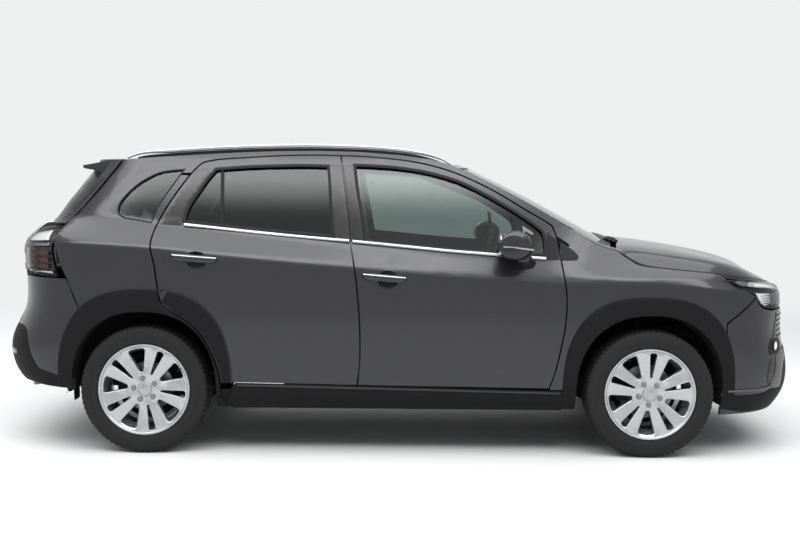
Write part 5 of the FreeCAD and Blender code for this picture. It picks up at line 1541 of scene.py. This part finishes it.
FLOOR_HALF = 40.0
FLOOR_GREY = (0.72, 0.72, 0.72)
FLOOR_GREY_LOW = (0.706, 0.706, 0.706)
FADE_NEAR = 3.2
FADE_FAR = 9.0


def floor():
    # grey under the car, fading into the pale background around it
    h = FLOOR_HALF
    mesh = bpy.data.meshes.new("floor")
    mesh.from_pydata([(-h, -h, 0), (h, -h, 0), (h, h, 0), (-h, h, 0)], [], [(0, 1, 2, 3)])
    obj = bpy.data.objects.new("floor", mesh)
    bpy.context.scene.collection.objects.link(obj)
    mat = material("floor_paint", FLOOR_GREY, roughness=0.7)
    vary(mat, noise(mat, 0.6).outputs["Fac"], 0.4, 0.6, FLOOR_GREY, FLOOR_GREY_LOW)
    tree = mat.node_tree
    away = add(tree, "VectorMath")
    away.operation = "LENGTH"
    fade = add(tree, "MapRange", From_Min=FADE_NEAR, From_Max=FADE_FAR)
    fade.interpolation_type = "SMOOTHSTEP"
    both_true = add(tree, "Math")
    both_true.operation = "MULTIPLY"
    glow = add(tree, "Emission", Color=PALE)
    mix = add(tree, "MixShader")
    link(tree, (add(tree, "TexCoord").outputs["Object"], away.inputs[0]),
         (away.outputs["Value"], fade.inputs["Value"]), (fade.outputs["Result"], both_true.inputs[0]),
         (seen_background(tree), both_true.inputs[1]), (both_true.outputs[0], mix.inputs["Fac"]),
         (tree.nodes["Principled BSDF"].outputs["BSDF"], mix.inputs[1]), (glow.outputs["Emission"], mix.inputs[2]),
         (mix.outputs["Shader"], tree.nodes["Material Output"].inputs["Surface"]))
    mesh.materials.append(mat)


floor()


def lamp(name, place, target, size, power, fade=False):
    data = bpy.data.lights.new(name, "AREA")
    data.shape = "RECTANGLE"
    data.size = size[0]
    data.size_y = size[1]
    data.energy = power
    if fade:
        # bright along its middle and dim at its long edges
        data.use_nodes = True
        tree = data.node_tree
        parts = add(tree, "SeparateXYZ")
        ramp = add(tree, "ValToRGB")
        ramp.color_ramp.interpolation = "EASE"
        for stop in ramp.color_ramp.elements:
            stop.color = (0.0, 0.0, 0.0, 1.0)
        ramp.color_ramp.elements.new(0.5).color = (2.0, 2.0, 2.0, 1.0)
        link(tree, (add(tree, "NewGeometry").outputs["Parametric"], parts.inputs["Vector"]),
             (parts.outputs["Y"], ramp.inputs["Fac"]),
             (ramp.outputs["Color"], tree.nodes["Emission"].inputs["Strength"]))
    obj = bpy.data.objects.new(name, data)
    obj.location = place
    obj.rotation_euler = (Vector(target) - Vector(place)).to_track_quat("-Z", "Y").to_euler()
    bpy.context.scene.collection.objects.link(obj)


lamp("overhead", (0.0, -1.4, 6.5), (0.0, -1.4, 0.0), (12.0, 6.4), 700.0)
lamp("shoulder_strip", (-0.5, -5.4, 6.4), (-0.5, -0.86, 1.05), (15.0, 3.4), 500.0, True)
lamp("far_side", (-3.0, 9.0, 4.0), (0.0, 0.0, 0.6), (8.0, 3.0), 220.0)


def world():
    w = bpy.data.worlds.new("soft_room")
    bpy.context.scene.world = w
    w.use_nodes = True
    tree = w.node_tree
    tree.nodes.clear()
    room = add(tree, "Background", Color=ROOM, Strength=0.7)
    pale = add(tree, "Background", Color=PALE, Strength=1.0)
    mix = add(tree, "MixShader")
    link(tree, (seen_background(tree), mix.inputs["Fac"]), (room.outputs["Background"], mix.inputs[1]),
         (pale.outputs["Background"], mix.inputs[2]),
         (mix.outputs["Shader"], add(tree, "OutputWorld").inputs["Surface"]))


world()

CAMERA_PLACE = (-0.0062, -6.446, 1.356)
CAMERA_PITCH = math.radians(3.88)
CAMERA_ROLL = math.radians(0.51)
CAMERA_LENS = 49.5


def camera():
    data = bpy.data.cameras.new("camera")
    data.lens = CAMERA_LENS
    data.sensor_width = 36.0
    obj = bpy.data.objects.new("camera", data)
    turn = Matrix.Rotation(math.radians(90.0) - CAMERA_PITCH, 4, "X") @ Matrix.Rotation(CAMERA_ROLL, 4, "Z")
    obj.matrix_world = Matrix.Translation(CAMERA_PLACE) @ turn
    bpy.context.scene.collection.objects.link(obj)
    bpy.context.scene.camera = obj


camera()
bpy.context.scene.view_settings.view_transform = "Standard"
